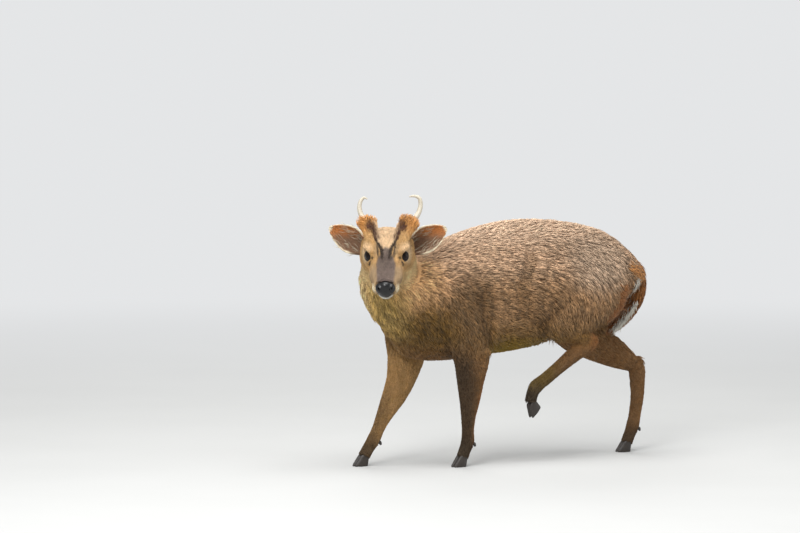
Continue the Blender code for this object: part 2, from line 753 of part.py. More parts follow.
def make_ear(name, side):
    """A cupped shell that opens forward and curls into a tube at its root."""
    lateral = Vector((-math.sin(HEAD_TURN), math.cos(HEAD_TURN), 0)) * side
    facing = Vector((math.cos(HEAD_TURN), math.sin(HEAD_TURN), 0))
    axis = (lateral * 0.84 + Vector((0, 0, 0.475)) - facing * 0.25).normalized()
    opening = (facing + lateral * 0.12 + Vector((0, 0, 0.05))).normalized()
    opening = (opening - opening.dot(axis) * axis).normalized()
    across = axis.cross(opening)
    place = Vector(EAR_ROOT)
    place.y *= side
    root = BODY_FRAME.inverted() @ HEAD_FRAME @ place
    columns = 8
    shape = bmesh.new()
    grid = []
    for share, width, curl in smooth_rows(EAR_SHAPE, 2):
        half, spread = EAR_HALF_WIDTH * width, math.radians(curl)
        radius = half / (math.sin(spread) if spread < math.pi / 2 else 1)
        row = []
        for angle in np.linspace(-spread, spread, columns + 1):
            sideways = radius * math.sin(angle)
            depth = -radius * (math.cos(angle) - math.cos(spread) * 0.55)
            spot = root + axis * EAR_LENGTH * share + across * sideways + opening * depth
            row.append(shape.verts.new(spot))
        grid.append(row)
    for low, high in zip(grid, grid[1:]):
        for i in range(columns):
            shape.faces.new((low[i], low[i + 1], high[i + 1], high[i]))
    ear = add_object(name, mesh_from(shape, BODY_FRAME), parts)
    wall = ear.modifiers.new("wall", "SOLIDIFY")
    wall.thickness = EAR_WALL
    wall.offset = 0.0
    settle(ear)
    shape = bmesh.new()
    shape.from_mesh(ear.data)
    bmesh.ops.recalc_face_normals(shape, faces=shape.faces)
    bmesh.ops.triangulate(shape, faces=shape.faces)
    shape.to_mesh(ear.data)
    shape.free()
    return ear


def make_antler(name):
    """A beam that curves out, up and in, with a small brow point at its foot."""
    beam = ANTLERS[name]
    rows = [(*place, share) for place, share in zip(beam, ANTLER_TAPER)]
    curve = smooth_rows(rows, 3)
    antler = add_object(name, wire(curve[:, :3], ANTLER_RADIUS, HEAD_FRAME, curve[:, 3]), parts)
    foot = Vector(beam[1])
    side = math.copysign(1, foot.y)
    tip = foot + Vector((-0.009, -0.008 * side, 0.0065))
    spine = ((foot, 0.80), ((foot + tip) / 2, 0.60), (tip, 0.24))
    places = [place for place, share in spine]
    taper = [share for place, share in spine]
    spur = add_object("spur", wire(places, ANTLER_RADIUS, HEAD_FRAME, taper), helpers)
    combine(antler, spur, "UNION")
    bpy.data.objects.remove(spur)
    keep_largest(antler)
    return antler


def foot_frame(place, turn, pitch):
    return (
        BODY_FRAME
        @ Matrix.Translation(place)
        @ Matrix.Rotation(math.radians(turn), 4, "Z")
        @ Matrix.Rotation(math.radians(pitch), 4, "Y")
    )


def make_feet():
    """Two claws and two dewclaws on each foot."""
    feet = {}
    for foot, (place, turn, pitch) in FEET.items():
        frame = foot_frame(place, turn, pitch)
        limb = "leg_" + foot
        feet[limb] = []
        for label, side in (("inner", -1), ("outer", 1)):
            side *= 1 if foot.endswith("left") else -1
            middle = side * (CLAW_WIDTH / 2 + GAP)
            half = CLAW_WIDTH / 2
            rows = [
                (-0.001, middle, 0.0, 0, half * 0.86, 0.0088, 0.0088),
                (0.002, middle, -CLAW_HEIGHT * 0.35, 0, half * 0.98, 0.0115, 0.0108),
                (0.005, middle, -CLAW_HEIGHT * 0.75, 0, half, 0.0150, 0.0128),
                (0.007, middle, -CLAW_HEIGHT, 0, half * 0.90, 0.0175, 0.0138),
            ]
            mesh = tube(rows, frame, sides=10, steps=1, square=True)
            feet[limb].append(add_object(f"claw_{foot}_{label}", mesh, parts))
    for foot, (place, pitch) in FETLOCKS.items():
        limb = "leg_" + foot
        for label, side in (("inner", -1), ("outer", 1)):
            side *= 1 if foot.endswith("left") else -1
            frame = foot_frame(place, 0, pitch)
            shape = bmesh.new()
            bmesh.ops.create_cone(
                shape, segments=8, cap_ends=True, radius1=DEWCLAW_TIP, radius2=DEWCLAW_ROOT,
                depth=DEWCLAW_LENGTH,
            )
            aim = Matrix.Rotation(DEWCLAW_TILT, 4, "Y")
            spot = frame @ Matrix.Translation((-0.0122, side * 0.0066, -0.0065)) @ aim
            feet[limb].append(add_object(f"dewclaw_{foot}_{label}", mesh_from(shape, spot), parts))
    return feet


def make_tail():
    rows = [(*place, 0, width, thick, thick) for place, width, thick in TAIL]
    tail = add_object("tail", tube(rows, BODY_FRAME, sides=16, steps=3), parts)
    fuse(tail, 0.0018)
    relax(tail, 2)
    thin_out(tail, TRIANGLES["tail"])
    return tail


def stand_on_origin():
    """Moves the meshes so that the middle of the model's box is over the origin."""
    corners = np.array([vertex.co for thing in parts.objects for vertex in thing.data.vertices])
    low, high = corners.min(axis=0), corners.max(axis=0)
    shift = Vector((*(-(low + high) / 2)[:2], -low[2]))
    for mesh in {thing.data for thing in parts.objects}:
        mesh.transform(Matrix.Translation(shift))
    print("box", low + np.array(shift), high + np.array(shift), "shift", tuple(shift))


def colour_nodes():
    looks = {
        "head": "coat", "neck": "coat", "torso": "coat", "tail": "coat", "nose": "skin",
        "ear": "coat_pale", "eye": "eye", "antler": "antler", "leg": "coat_dark",
        "claw": "hoof", "dewclaw": "hoof",
    }
    for thing in parts.objects:
        thing.data.materials.clear()
        thing.data.materials.append(finish_of(looks[thing.name.split("_")[0]]))
        thing.data.shade_smooth()
        thing.data.set_sharp_from_angle(angle=math.radians(50))


def main():
    clear_scene()
    flesh = make_flesh()
    thin_out(flesh, 60000)
    limbs = part_limbs(flesh)
    nodes = {**limbs, **part_spine(flesh)}
    for name, node in nodes.items():
        thin_out(node, TRIANGLES[name])
    head = nodes["head"]
    open_lids(head)
    groove_face(head)
    for eye in make_eyes().values():
        seat(eye, head)
    seat(make_nose(), head)
    for name in ANTLERS:
        seat(make_antler(name), head)
    for name, side in (("ear_left", 1), ("ear_right", -1)):
        seat(make_ear(name, side), head)
    seat(make_tail(), nodes["torso"], nodes["leg_hind_left"], nodes["leg_hind_right"])
    for limb, claws in make_feet().items():
        for claw in claws:
            seat(claw, nodes[limb])
    stand_on_origin()
    colour_nodes()


main()
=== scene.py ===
# %% [markdown]
# # A muntjac buck, dressed
# The solids of the model are loaded first and stay where they are. This script gives them their looks:
# one skin over the flesh, a coat of thin tufts over the skin, and finer eyes, nose, ears, antlers and hooves.
# Everything is in metres, with +Z up; the animal heads along -X and its left side is -Y.

# %% Load the frame
import math

import bmesh
import bpy
import numpy as np
from mathutils import Matrix, Vector
from mathutils.bvhtree import BVHTree


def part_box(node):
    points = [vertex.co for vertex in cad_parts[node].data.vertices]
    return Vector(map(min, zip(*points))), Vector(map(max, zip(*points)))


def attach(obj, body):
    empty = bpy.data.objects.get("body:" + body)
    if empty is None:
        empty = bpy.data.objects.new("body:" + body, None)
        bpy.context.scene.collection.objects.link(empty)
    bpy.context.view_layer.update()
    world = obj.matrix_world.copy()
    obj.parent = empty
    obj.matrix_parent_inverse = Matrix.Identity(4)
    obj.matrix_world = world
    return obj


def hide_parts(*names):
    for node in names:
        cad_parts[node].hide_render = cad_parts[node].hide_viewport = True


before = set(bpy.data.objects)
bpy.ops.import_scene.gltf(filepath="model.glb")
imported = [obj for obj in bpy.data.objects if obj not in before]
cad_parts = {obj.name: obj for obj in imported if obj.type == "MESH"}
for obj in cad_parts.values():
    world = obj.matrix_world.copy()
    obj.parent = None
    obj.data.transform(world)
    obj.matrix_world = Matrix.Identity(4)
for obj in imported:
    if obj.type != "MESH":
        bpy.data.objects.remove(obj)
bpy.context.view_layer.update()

# %% [markdown]
# ## Two frames to think in
# It is hard to say where a stripe runs in world coordinates. So the body has a frame of its own, (forward,
# left, up), and the head, which is turned and bowed, has another: (along the face, left, up from the face),
# with its origin midway between the eyes. Both are found from the eyeballs, so they follow the solids.

# %% Frames of the body and of the head
HEAD_TURN = math.radians(58)
HEAD_PITCH = math.radians(40)
FACE_IN_BODY = Vector((0.348, 0.090, 0.4265))
EYE_FROM_FACE = Vector((-0.001, 0.0, -0.0015))
EYE_SIDE = 0.0295
EYE_RADIUS = 0.0125
EYE_LOOKS = Vector((0.56, 0.68, 0.48)).normalized()
LID_RADIUS = 0.0096


def middle(node):
    low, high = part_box(node)
    return (low + high) / 2


to_body_axes = Matrix.Rotation(math.pi, 4, "Z")
head_turned = Matrix.Rotation(HEAD_TURN, 4, "Z") @ Matrix.Rotation(HEAD_PITCH, 4, "Y")
between_eyes = (middle("eye_left") + middle("eye_right")) / 2
face_centre = between_eyes - (to_body_axes @ head_turned).to_3x3() @ EYE_FROM_FACE
BODY = Matrix.Translation(face_centre) @ to_body_axes @ Matrix.Translation(-FACE_IN_BODY)
HEAD = BODY @ Matrix.Translation(FACE_IN_BODY) @ head_turned


def in_frame(points, placed):
    """The points, an array of world places, in the coordinates of a placed frame."""
    inverse = np.array(placed.inverted())
    return points @ inverse[:3, :3].T + inverse[:3, 3]


def turned_from(vectors, placed):
    """Vectors given in a placed frame, as world vectors."""
    return vectors @ np.array(placed)[:3, :3].T


def around_eye(points, side):
    """Places seen from an eyeball: from its middle, how far ahead, and how far from the line of sight."""
    middle_of_eye = np.array((EYE_FROM_FACE.x, side * EYE_SIDE, EYE_FROM_FACE.z))
    from_eye = in_frame(points, HEAD) - middle_of_eye
    aim = np.array((EYE_LOOKS.x, side * EYE_LOOKS.y, EYE_LOOKS.z))
    ahead = from_eye @ aim
    return np.linalg.norm(from_eye, axis=1), ahead, np.linalg.norm(from_eye - ahead[:, None] * aim, axis=1)


print("face centre", [round(v, 4) for v in face_centre])

# %% [markdown]
# ## Camera, floor and light
# The photograph looks at the animal from its left front, a little above level, from far away, so the lens
# is long. The scale of 2 mm to a pixel and the point on the floor fix the framing.

# %% Camera
PIXEL = 0.002
FRAME_MIDDLE = (400, 266.5)
FLOOR_POINT = (515, 460)
VIEW_AZIMUTH = math.radians(-30)
VIEW_ELEVATION = math.radians(4)
CAMERA_DISTANCE = 12.0
SENSOR_WIDTH = 36.0
FRAME_WIDTH = 800

back = Vector((
    math.sin(VIEW_AZIMUTH) * math.cos(VIEW_ELEVATION),
    -math.cos(VIEW_AZIMUTH) * math.cos(VIEW_ELEVATION),
    math.sin(VIEW_ELEVATION),
))
right = Vector((math.cos(VIEW_AZIMUTH), math.sin(VIEW_AZIMUTH), 0))
above = back.cross(right)
sideways = (FRAME_MIDDLE[0] - FLOOR_POINT[0]) * PIXEL
upwards = (FLOOR_POINT[1] - FRAME_MIDDLE[1]) * PIXEL
target = BODY.translation + right * sideways + above * upwards
camera_data = bpy.data.cameras.new("camera")
camera_data.sensor_width = SENSOR_WIDTH
camera_data.lens = SENSOR_WIDTH * CAMERA_DISTANCE / (FRAME_WIDTH * PIXEL)
camera_data.clip_end = 100
camera = bpy.data.objects.new("camera", camera_data)
turned = Matrix((right, above, back)).transposed().to_4x4()
camera.matrix_world = Matrix.Translation(target + back * CAMERA_DISTANCE) @ turned
bpy.context.scene.collection.objects.link(camera)
bpy.context.scene.camera = camera
print("lens", round(camera_data.lens), "camera height", round(camera.location.z, 3))

# %% Lights
LIT_POINT = Vector((0, 0, 0.25))
# Name, place, side of the square, watts
LIGHTS = (
    ("overhead", (-0.5, -0.7, 3.2), 3.0, 134),
    ("key", (-2.4, -2.2, 2.2), 1.2, 80),
    ("fill", (3.2, -1.6, 1.4), 2.4, 22),
    ("rim", (1.2, 3.0, 2.2), 2.0, 40),
)


def add_light(name, place, size, power):
    """A square area light that looks at the middle of the animal."""
    data = bpy.data.lights.new(name, "AREA")
    data.size = size
    data.energy = power
    light = bpy.data.objects.new(name, data)
    light.location = place
    light.rotation_euler = (LIT_POINT - Vector(place)).to_track_quat("-Z", "Y").to_euler()
    bpy.context.scene.collection.objects.link(light)


for light in LIGHTS:
    add_light(*light)
bpy.context.scene.view_settings.view_transform = "Standard"
print("lights", len(LIGHTS))

# %% [markdown]
# ## Shader maths that reads like maths
# A socket is wrapped in a small class whose operators add Math nodes, so `1 - mask * 0.5` builds the nodes
# it says. Colours are blended by Mix nodes, because a Math node would turn them grey.

# %% Shader helpers
class Value:
    """A shader socket that can be added, multiplied and so on."""

    def __init__(self, tree, socket):
        self.tree = tree
        self.socket = socket

    def maths(self, operation, *others):
        return node_of(self.tree, "ShaderNodeMath", {"operation": operation}, {
            i: value for i, value in enumerate(others)
        })

    def __add__(self, other):
        return self.maths("ADD", self, other)

    def __radd__(self, other):
        return self.maths("ADD", other, self)

    def __sub__(self, other):
        return self.maths("SUBTRACT", self, other)

    def __rsub__(self, other):
        return self.maths("SUBTRACT", other, self)

    def __mul__(self, other):
        return self.maths("MULTIPLY", self, other)

    def __rmul__(self, other):
        return self.maths("MULTIPLY", other, self)


def node_of(tree, kind, settings=None, sockets=None, output=0):
    """Adds a node, sets its settings, then fills its sockets with values or links."""
    made = tree.nodes.new(kind)
    for name, value in (settings or {}).items():
        setattr(made, name, value)
    for name, value in (sockets or {}).items():
        if isinstance(value, Value):
            tree.links.new(value.socket, made.inputs[name])
        else:
            made.inputs[name].default_value = value
    return Value(tree, made.outputs[output])


def blend(tree, share, one, other):
    """Colour one where the share is 0, and the other where it is 1."""
    return node_of(tree, "ShaderNodeMix", {"data_type": "RGBA"}, {0: share, 6: one, 7: other}, 2)


def new_material(name):
    """A material with a Principled shader, and its tree and shader."""
    material = bpy.data.materials.new(name)
    material.use_nodes = True
    return material, material.node_tree, material.node_tree.nodes["Principled BSDF"]


def plug(tree, value, shader, socket):
    tree.links.new(value.socket, shader.inputs[socket])


def noise(tree, place, scale, detail=3.0, stretch=None):
    """Noise over the place, squeezed along the axes by the stretch."""
    if stretch is not None:
        place = node_of(tree, "ShaderNodeMapping", None, {"Vector": place, "Scale": stretch})
    return node_of(tree, "ShaderNodeTexNoise", None, {"Vector": place, "Scale": scale, "Detail": detail})


def object_place(tree):
    return node_of(tree, "ShaderNodeTexCoord", None, None, 3)


def bumped(tree, shader, height, strength, distance):
    bump = node_of(tree, "ShaderNodeBump", None, {
        "Strength": strength, "Distance": distance, "Height": height,
    })
    plug(tree, bump, shader, "Normal")


print("shader helpers ready")

# %% [markdown]
# ## Floor and studio
# A pale floor that fades into the pale wall of a studio, so that nothing but the animal draws the eye. The
# far floor glows with the wall's own colour, which hides the line where they meet. The wall that is seen is
# brighter than the light it gives, so that the coat keeps its shading.

# %% Floor and studio
FLOOR_HALF = 60.0
WALL = (0.78, 0.79, 0.80, 1)
WALL_LIGHT = 0.42
FADE_FROM = 0.9
FADE_TO = 4.5
shape = bmesh.new()
bmesh.ops.create_grid(shape, x_segments=2, y_segments=2, size=FLOOR_HALF)
floor_mesh = bpy.data.meshes.new("floor")
shape.to_mesh(floor_mesh)
shape.free()
floor = bpy.data.objects.new("floor", floor_mesh)
bpy.context.scene.collection.objects.link(floor)
floor_finish, tree, shader = new_material("pale_floor")
shader.inputs["Roughness"].default_value = 0.9
place = object_place(tree)
speck = noise(tree, place, 3.0)
plug(tree, blend(tree, speck, (0.47, 0.47, 0.46, 1), (0.50, 0.50, 0.49, 1)), shader, "Base Color")
distance = node_of(tree, "ShaderNodeVectorMath", {"operation": "LENGTH"}, {0: place}, 1)
far = node_of(tree, "ShaderNodeMapRange", {"interpolation_type": "SMOOTHSTEP"}, {
    0: distance, 1: FADE_FROM, 2: FADE_TO,
})
glow = node_of(tree, "ShaderNodeEmission", None, {"Color": WALL})
mixed = node_of(tree, "ShaderNodeMixShader", None, {0: far, 1: Value(tree, shader.outputs[0]), 2: glow})
tree.links.new(mixed.socket, tree.nodes["Material Output"].inputs["Surface"])
floor_mesh.materials.append(floor_finish)

world = bpy.data.worlds.new("studio")
world.use_nodes = True
tree = world.node_tree
seen = node_of(tree, "ShaderNodeLightPath")
lit = node_of(tree, "ShaderNodeBackground", None, {"Color": (0.95, 0.98, 1.0, 1), "Strength": WALL_LIGHT})
shown = node_of(tree, "ShaderNodeBackground", None, {"Color": WALL, "Strength": 1.0})
mixed = node_of(tree, "ShaderNodeMixShader", None, {0: seen, 1: lit, 2: shown})
tree.links.new(mixed.socket, tree.nodes["World Output"].inputs["Surface"])
bpy.context.scene.world = world
print("floor", FLOOR_HALF * 2, "m across")

# %% [markdown]
# ## Markings, with painted light and shade
# One function says what colour the coat is at any place, in the frames of the body and the head. The skin and
# every tuft ask the same function, so they never disagree. A marking is a soft-edged zone: `near` is 1 at
# its heart and fades to 0 outside it.
# Some zones are painted light and painted shade, not marks of the coat: lighter on the back and haunch,
# darker low on the trunk, underneath it, on the brisket, on the shoulder, in front of the thigh and in the
# creases.

# %% Colours of the coat
def linear(red, green, blue):
    """A colour as a painter reads it off a screen, 0 to 255, in the linear light that shaders use."""
    return np.array([(channel / 255) ** 2.2 for channel in (red, green, blue)])


COAT = {
    # The colours of the back, the higher flank and the haunch are lighter with painted light from above;
    # those low on the trunk, under it and on the brisket are darker with painted shade.
    "back": linear(228, 194, 164),
    "lit_upper": linear(200, 164, 133),
    "flank": linear(172, 132, 94),
    "low": linear(136, 102, 60),
    "shaded_belly": linear(150, 120, 36),
    "lit_hip": linear(208, 180, 154),
    "shade": linear(108, 80, 50),
    "neck": linear(222, 174, 122),
    "throat": linear(198, 164, 96),
    "shaded_chest": linear(112, 82, 34),
    "cream": linear(238, 222, 188),
    "cheek": linear(204, 160, 104),
    "muzzle": linear(172, 144, 110),
    "jaw": linear(252, 216, 158),
    "forehead": linear(236, 200, 158),
    "bridge": linear(104, 92, 90),
    "stripe": linear(36, 26, 28),
    "pedicle": linear(214, 144, 74),
    "pedicle_dark": linear(74, 34, 18),
    "rump": linear(222, 152, 88),
    "tail": linear(140, 84, 36),
    "white": linear(250, 246, 234),
    "leg": linear(138, 98, 58),
    "leg_front": linear(62, 46, 32),
    "leg_back": linear(172, 112, 66),
    "leg_tan": linear(182, 140, 88),
    "foot": linear(50, 40, 32),
    "ear_back": linear(140, 106, 76),
}


def smoothly(value, start, end):
    """0 before the start, 1 after the end, with a smooth rise between them."""
    t = np.clip((value - start) / (end - start), 0, 1)
    return t * t * (3 - 2 * t)


def near(points, centre, radii):
    """1 at the centre of an ellipsoid, falling smoothly to 0 at its surface."""
    away = np.linalg.norm((points - np.array(centre)) / np.array(radii), axis=1)
    return 1 - smoothly(away, 0.35, 1.0)


def along_line(points, line, width):
    """1 on a line through the places, falling to 0 at the width away from it."""
    closest = np.full(len(points), 1e9)
    for start, end in zip(np.array(line), np.array(line)[1:]):
        run = end - start
        share = np.clip((points - start) @ run / (run @ run), 0, 1)
        spot = start + share[:, None] * run
        closest = np.minimum(closest, np.linalg.norm(points - spot, axis=1))
    return 1 - smoothly(closest, 0.35 * width, width)


def paint(colours, share, name):
    colours += share[:, None] * (COAT[name] - colours)

# %% Markings of the body, with painted light and shade
# Lines down the middle of the legs, the edge of the thigh beside the tail, and the creases behind the
# shoulder and in front of the thigh, in the body's frame
LEFT_FORE = ((0.150, 0.060, 0.25), (0.140, 0.060, 0.17), (0.146, 0.060, 0.06), (0.158, 0.060, 0.0))
RIGHT_FORE = ((0.222, -0.055, 0.25), (0.233, -0.053, 0.17), (0.287, -0.050, 0.071), (0.320, -0.050, 0.0))
LEFT_HIND = ((-0.060, 0.064, 0.275), (-0.140, 0.059, 0.240), (-0.036, 0.060, 0.167), (0.003, 0.060, 0.09))
RIGHT_HIND = ((-0.190, -0.056, 0.245), (-0.305, -0.036, 0.180), (-0.305, -0.033, 0.10), (-0.281, -0.030, 0.0))
TAIL_EDGE_UP = (0.262, 0.300, 0.345)
TAIL_EDGE_FORWARD = (-0.185, -0.208, -0.245)
CREASES = (
    ((0.114, 0, 0.340), (0.110, 0, 0.295), (0.106, 0, 0.250)),
    ((0.016, 0, 0.405), (0.040, 0, 0.350), (0.026, 0, 0.302), (-0.026, 0, 0.277)),
)


def body_colours(points):
    """Colours of the trunk, neck and legs at places in the body's frame."""
    forward, left, up = points.T
    colours = np.tile(COAT["flank"], (len(points), 1))
    # Painted light: the trunk grows lighter towards the back, where light falls from above.
    paint(colours, smoothly(up, 0.335, 0.415), "lit_upper")
    paint(colours, smoothly(up, 0.415, 0.465), "back")
    # Painted shade: the trunk grows darker low down, away from the light above.
    paint(colours, 1 - smoothly(up, 0.255, 0.315), "low")
    # Painted highlight on the top of the haunch, where light from above falls.
    paint(colours, near(points, (-0.14, 0.07, 0.40), (0.11, 0.09, 0.08)) * 0.8, "lit_hip")
    paint(colours, near(points, (0.165, 0.08, 0.300), (0.080, 0.07, 0.090)) * 0.85, "shade")
    paint(colours, near(points, (0.150, 0.08, 0.360), (0.060, 0.07, 0.055)) * 0.30, "shade")
    paint(colours, near(points, (-0.06, 0.09, 0.315), (0.07, 0.05, 0.05)) * 0.4, "shade")
    paint(colours, near(points, (0.28, 0.07, 0.385), (0.10, 0.09, 0.09)), "neck")
    side_on = np.stack([forward, np.zeros(len(points)), up], axis=1)
    for line in CREASES:
        paint(colours, along_line(side_on, line, 0.020) * smoothly(np.abs(left), 0.03, 0.06) * 0.45, "shade")
    # Painted shade under the trunk: dark olive, though the coat there is paler buff in life.
    below = 1 - smoothly(up, 0.228, 0.268)
    trunk = smoothly(forward, -0.20, -0.12) * (1 - smoothly(forward, 0.06, 0.115))
    paint(colours, below * trunk, "shaded_belly")
    # Painted shade on the brisket below the neck; the coat there is not dark in life.
    paint(colours, near(points, (0.235, 0.05, 0.275), (0.09, 0.08, 0.08)), "shaded_chest")
    paint(colours, near(points, (0.330, 0.02, 0.32), (0.085, 0.08, 0.11)), "throat")
    paint(colours, near(points, (0.352, -0.02, 0.375), (0.06, 0.06, 0.09)) * 0.85, "jaw")
    paint(colours, near(points, (-0.262, 0.012, 0.380), (0.050, 0.050, 0.034)) * 0.30, "rump")
    paint(colours, near(points, (-0.215, 0.070, 0.305), (0.040, 0.05, 0.07)) * 0.8, "leg_back")
    edge = np.interp(up, TAIL_EDGE_UP, TAIL_EDGE_FORWARD)
    behind = (1 - smoothly(forward - edge, -0.010, 0.002)) * smoothly(up, 0.250, 0.265)
    paint(colours, behind * (1 - smoothly(up, 0.345, 0.365)) * smoothly(left, 0.0, 0.02) * 0.85, "tail")
    paint(colours, near(points, (-0.262, 0.020, 0.354), (0.020, 0.022, 0.024)), "white")
    legs = 1 - smoothly(up, 0.205, 0.265)
    hind = 1 - smoothly(forward, -0.08, -0.02)
    paint(colours, legs * (1 - hind) * (1 - smoothly(left, -0.02, 0.01)) * (1 - 0.7 * trunk), "leg_tan")
    paint(colours, legs * (1 - hind) * smoothly(left, -0.01, 0.02) * smoothly(forward, 0.085, 0.11), "leg")
    paint(colours, (1 - smoothly(up, 0.225, 0.285)) * hind, "leg")
    front = along_line(points, [(f + 0.018, l, u) for f, l, u in LEFT_FORE], 0.044)
    paint(colours, front * (1 - smoothly(up, 0.20, 0.28)) * 0.95, "leg_front")
    behind = along_line(points, [(f - 0.022, l, u) for f, l, u in LEFT_FORE], 0.022)
    paint(colours, behind * (1 - smoothly(up, 0.14, 0.22)) * 0.8, "leg_back")
    front = along_line(points, [(f + 0.014, l, u) for f, l, u in RIGHT_FORE], 0.022)
    paint(colours, front * (1 - smoothly(up, 0.10, 0.18)) * 0.5, "leg_front")
    raised = along_line(points, LEFT_HIND, 0.05)
    paint(colours, raised * (1 - smoothly(up, 0.15, 0.235)) * 0.75, "leg_front")
    paint(colours, near(points, (-0.145, 0.06, 0.245), (0.03, 0.03, 0.035)) * 0.7, "leg_back")
    planted = along_line(points, [(f + 0.010, l, u) for f, l, u in RIGHT_HIND], 0.022)
    paint(colours, planted * (1 - smoothly(up, 0.16, 0.22)) * 0.3, "leg_front")
    paint(colours, (1 - smoothly(up, 0.035, 0.075)) * (1 - raised) * 0.75, "foot")
    paint(colours, near(points, (0.001, 0.060, 0.125), (0.05, 0.04, 0.045)), "foot")
    return colours


print("middle of the flank", body_colours(np.array([(0.05, 0.08, 0.34)]))[0].round(3))

# %% Markings of the tail
TAIL_UP = (0.250, 0.258, 0.278, 0.310, 0.344, 0.376, 0.396)
TAIL_FORWARD = (-0.218, -0.228, -0.252, -0.277, -0.287, -0.280, -0.255)


def tail_line(up):
    """Where along the body the middle of the tail's thickness lies, at a height."""
    return np.interp(up, TAIL_UP, TAIL_FORWARD)


def tail_colours(points):
    """Red-brown on top, white along the left edge and underneath, orange at the root."""
    forward, left, up = points.T
    colours = np.tile(COAT["tail"], (len(points), 1))
    paint(colours, near(points, (-0.270, 0.0, 0.388), (0.05, 0.04, 0.030)) * 0.35, "rump")
    paint(colours, near(points, (-0.270, 0.0, 0.345), (0.03, 0.05, 0.05)) * 0.4, "rump")
    under = smoothly(forward - tail_line(up), 0.009, 0.014)
    paint(colours, under * (1 - smoothly(up, 0.315, 0.340)) * smoothly(left, 0.006, 0.016), "white")
    paint(colours, under * (1 - smoothly(left, -0.006, 0.006)) * 0.8, "white")
    paint(colours, near(points, (-0.266, 0.016, 0.354), (0.020, 0.020, 0.024)), "white")
    return colours


print("middle of the tail", tail_colours(np.array([(-0.28, 0.0, 0.30)]))[0].round(3))

# %% Markings of the head
FACE_TILT = math.radians(44)
# Heights above the eyes, with how far out the stripe runs there, and half the width of the bridge
STRIPE_RISE = (-0.0064, 0.0096, 0.0204, 0.0300, 0.0430, 0.0550)
STRIPE_OUT = (0.0073, 0.0087, 0.0140, 0.0215, 0.0240, 0.0280)
BRIDGE_RISE = (-0.055, -0.030, -0.018, -0.007, 0.000, 0.010, 0.016)
BRIDGE_HALF = (0.0165, 0.0186, 0.0190, 0.0162, 0.0115, 0.0075, 0.0040)


def head_colours(points):
    """Colours of the face and the pedicles at places in the head's frame.

    The marks on the face are laid out on the plane it shows from the front: how far out from the middle,
    and how high above the eyes.
    """
    along, side, up = points.T
    out = np.abs(side)
    rise = up * math.cos(FACE_TILT) - along * math.sin(FACE_TILT)
    front = up * math.sin(FACE_TILT) + along * math.cos(FACE_TILT)
    flat = np.stack([out, rise, np.zeros(len(points))], axis=1)
    mirrored = np.stack([along, out, up], axis=1)
    facing = smoothly(front, -0.030, -0.012)

    def mark(place, radii):
        return near(flat, (*place, 0), (*radii, 1)) * facing

    def line(places, width):
        return along_line(flat, [(*place, 0) for place in places], width) * facing

    colours = np.tile(COAT["cheek"], (len(points), 1))
    paint(colours, 1 - smoothly(along, -0.110, -0.070), "neck")
    stripe = np.interp(rise, STRIPE_RISE, STRIPE_OUT)
    inside = 1 - smoothly(out - stripe, -0.004, 0.001)
    paint(colours, inside * smoothly(rise, 0.006, 0.016) * smoothly(front, -0.07, -0.04), "forehead")
    paint(colours, mark((0.038, 0.014), (0.017, 0.014)) * 0.7, "forehead")
    paint(colours, mark((0.044, -0.004), (0.012, 0.020)) * 0.4, "cream")
    paint(colours, (1 - smoothly(up, -0.058, -0.026)) * (1 - smoothly(along, 0.02, 0.06)) * 0.95, "jaw")
    paint(colours, mark((0.024, -0.042), (0.013, 0.034)), "muzzle")
    paint(colours, mark((0.0195, 0.010), (0.008, 0.020)) * 0.6, "muzzle")
    paint(colours, near(mirrored, (-0.058, 0.042, 0.034), (0.045, 0.032, 0.036)), "pedicle")
    paint(colours, mark((0.032, 0.052), (0.010, 0.012)), "pedicle_dark")
    half = np.interp(rise, BRIDGE_RISE, BRIDGE_HALF)
    bridge = (1 - smoothly(out - half, -0.003, 0.002)) * (1 - smoothly(rise, 0.010, 0.018)) * facing
    paint(colours, bridge * 0.95, "bridge")
    paint(colours, mark((0, -0.010), (0.018, 0.022)) * 0.30, "stripe")
    high = smoothly(rise, -0.012, -0.004) * (1 - smoothly(rise, 0.052, 0.062)) * facing
    paint(colours, (1 - smoothly(np.abs(out - stripe), 0.0020, 0.0042)) * high, "stripe")
    second = stripe + 0.0075 * (1 - smoothly(rise, 0.010, 0.030))
    low = smoothly(rise, -0.010, 0.0) * (1 - smoothly(rise, 0.022, 0.032)) * facing
    paint(colours, (1 - smoothly(np.abs(out - second), 0.0012, 0.0030)) * low * 0.85, "stripe")
    ragged = 0.70 + 0.30 * np.sin(rise * 700 + 2 * np.sin(out * 900))
    paint(colours, line(((0.019, 0.034), (0.024, 0.046), (0.030, 0.060)), 0.0090) * ragged, "pedicle_dark")
    paint(colours, mark((0.0268, -0.0055), (0.0045, 0.0042)), "stripe")
    paint(colours, line(((0.0300, -0.012), (0.0318, -0.019)), 0.0030), "stripe")
    paint(colours, mark((0.027, -0.068), (0.013, 0.016)), "cream")
    lips = 1 - smoothly(up - 0.25 * along, -0.052, -0.042)
    paint(colours, lips * smoothly(along, 0.02, 0.05), "white")
    return colours


def coat_colours(world_points, is_head, is_tail):
    """The colour at each place, markings with painted light and shade; the shares say how much of the place
    is head or tail.
    """
    colours = body_colours(in_frame(world_points, BODY))
    colours += is_head[:, None] * (head_colours(in_frame(world_points, HEAD)) - colours)
    colours += is_tail[:, None] * (tail_colours(in_frame(world_points, BODY)) - colours)
    return np.clip(colours, 0.002, 1.0)


print("colours", len(COAT))

# %% [markdown]
# ## Lie of the coat
# Hair grows along the body: back and down over the trunk, down the legs, up from the nose over the face.
# A few guide lines carry the direction; at any place the nearest lines have most say, and the answer is laid
# flat on the skin.

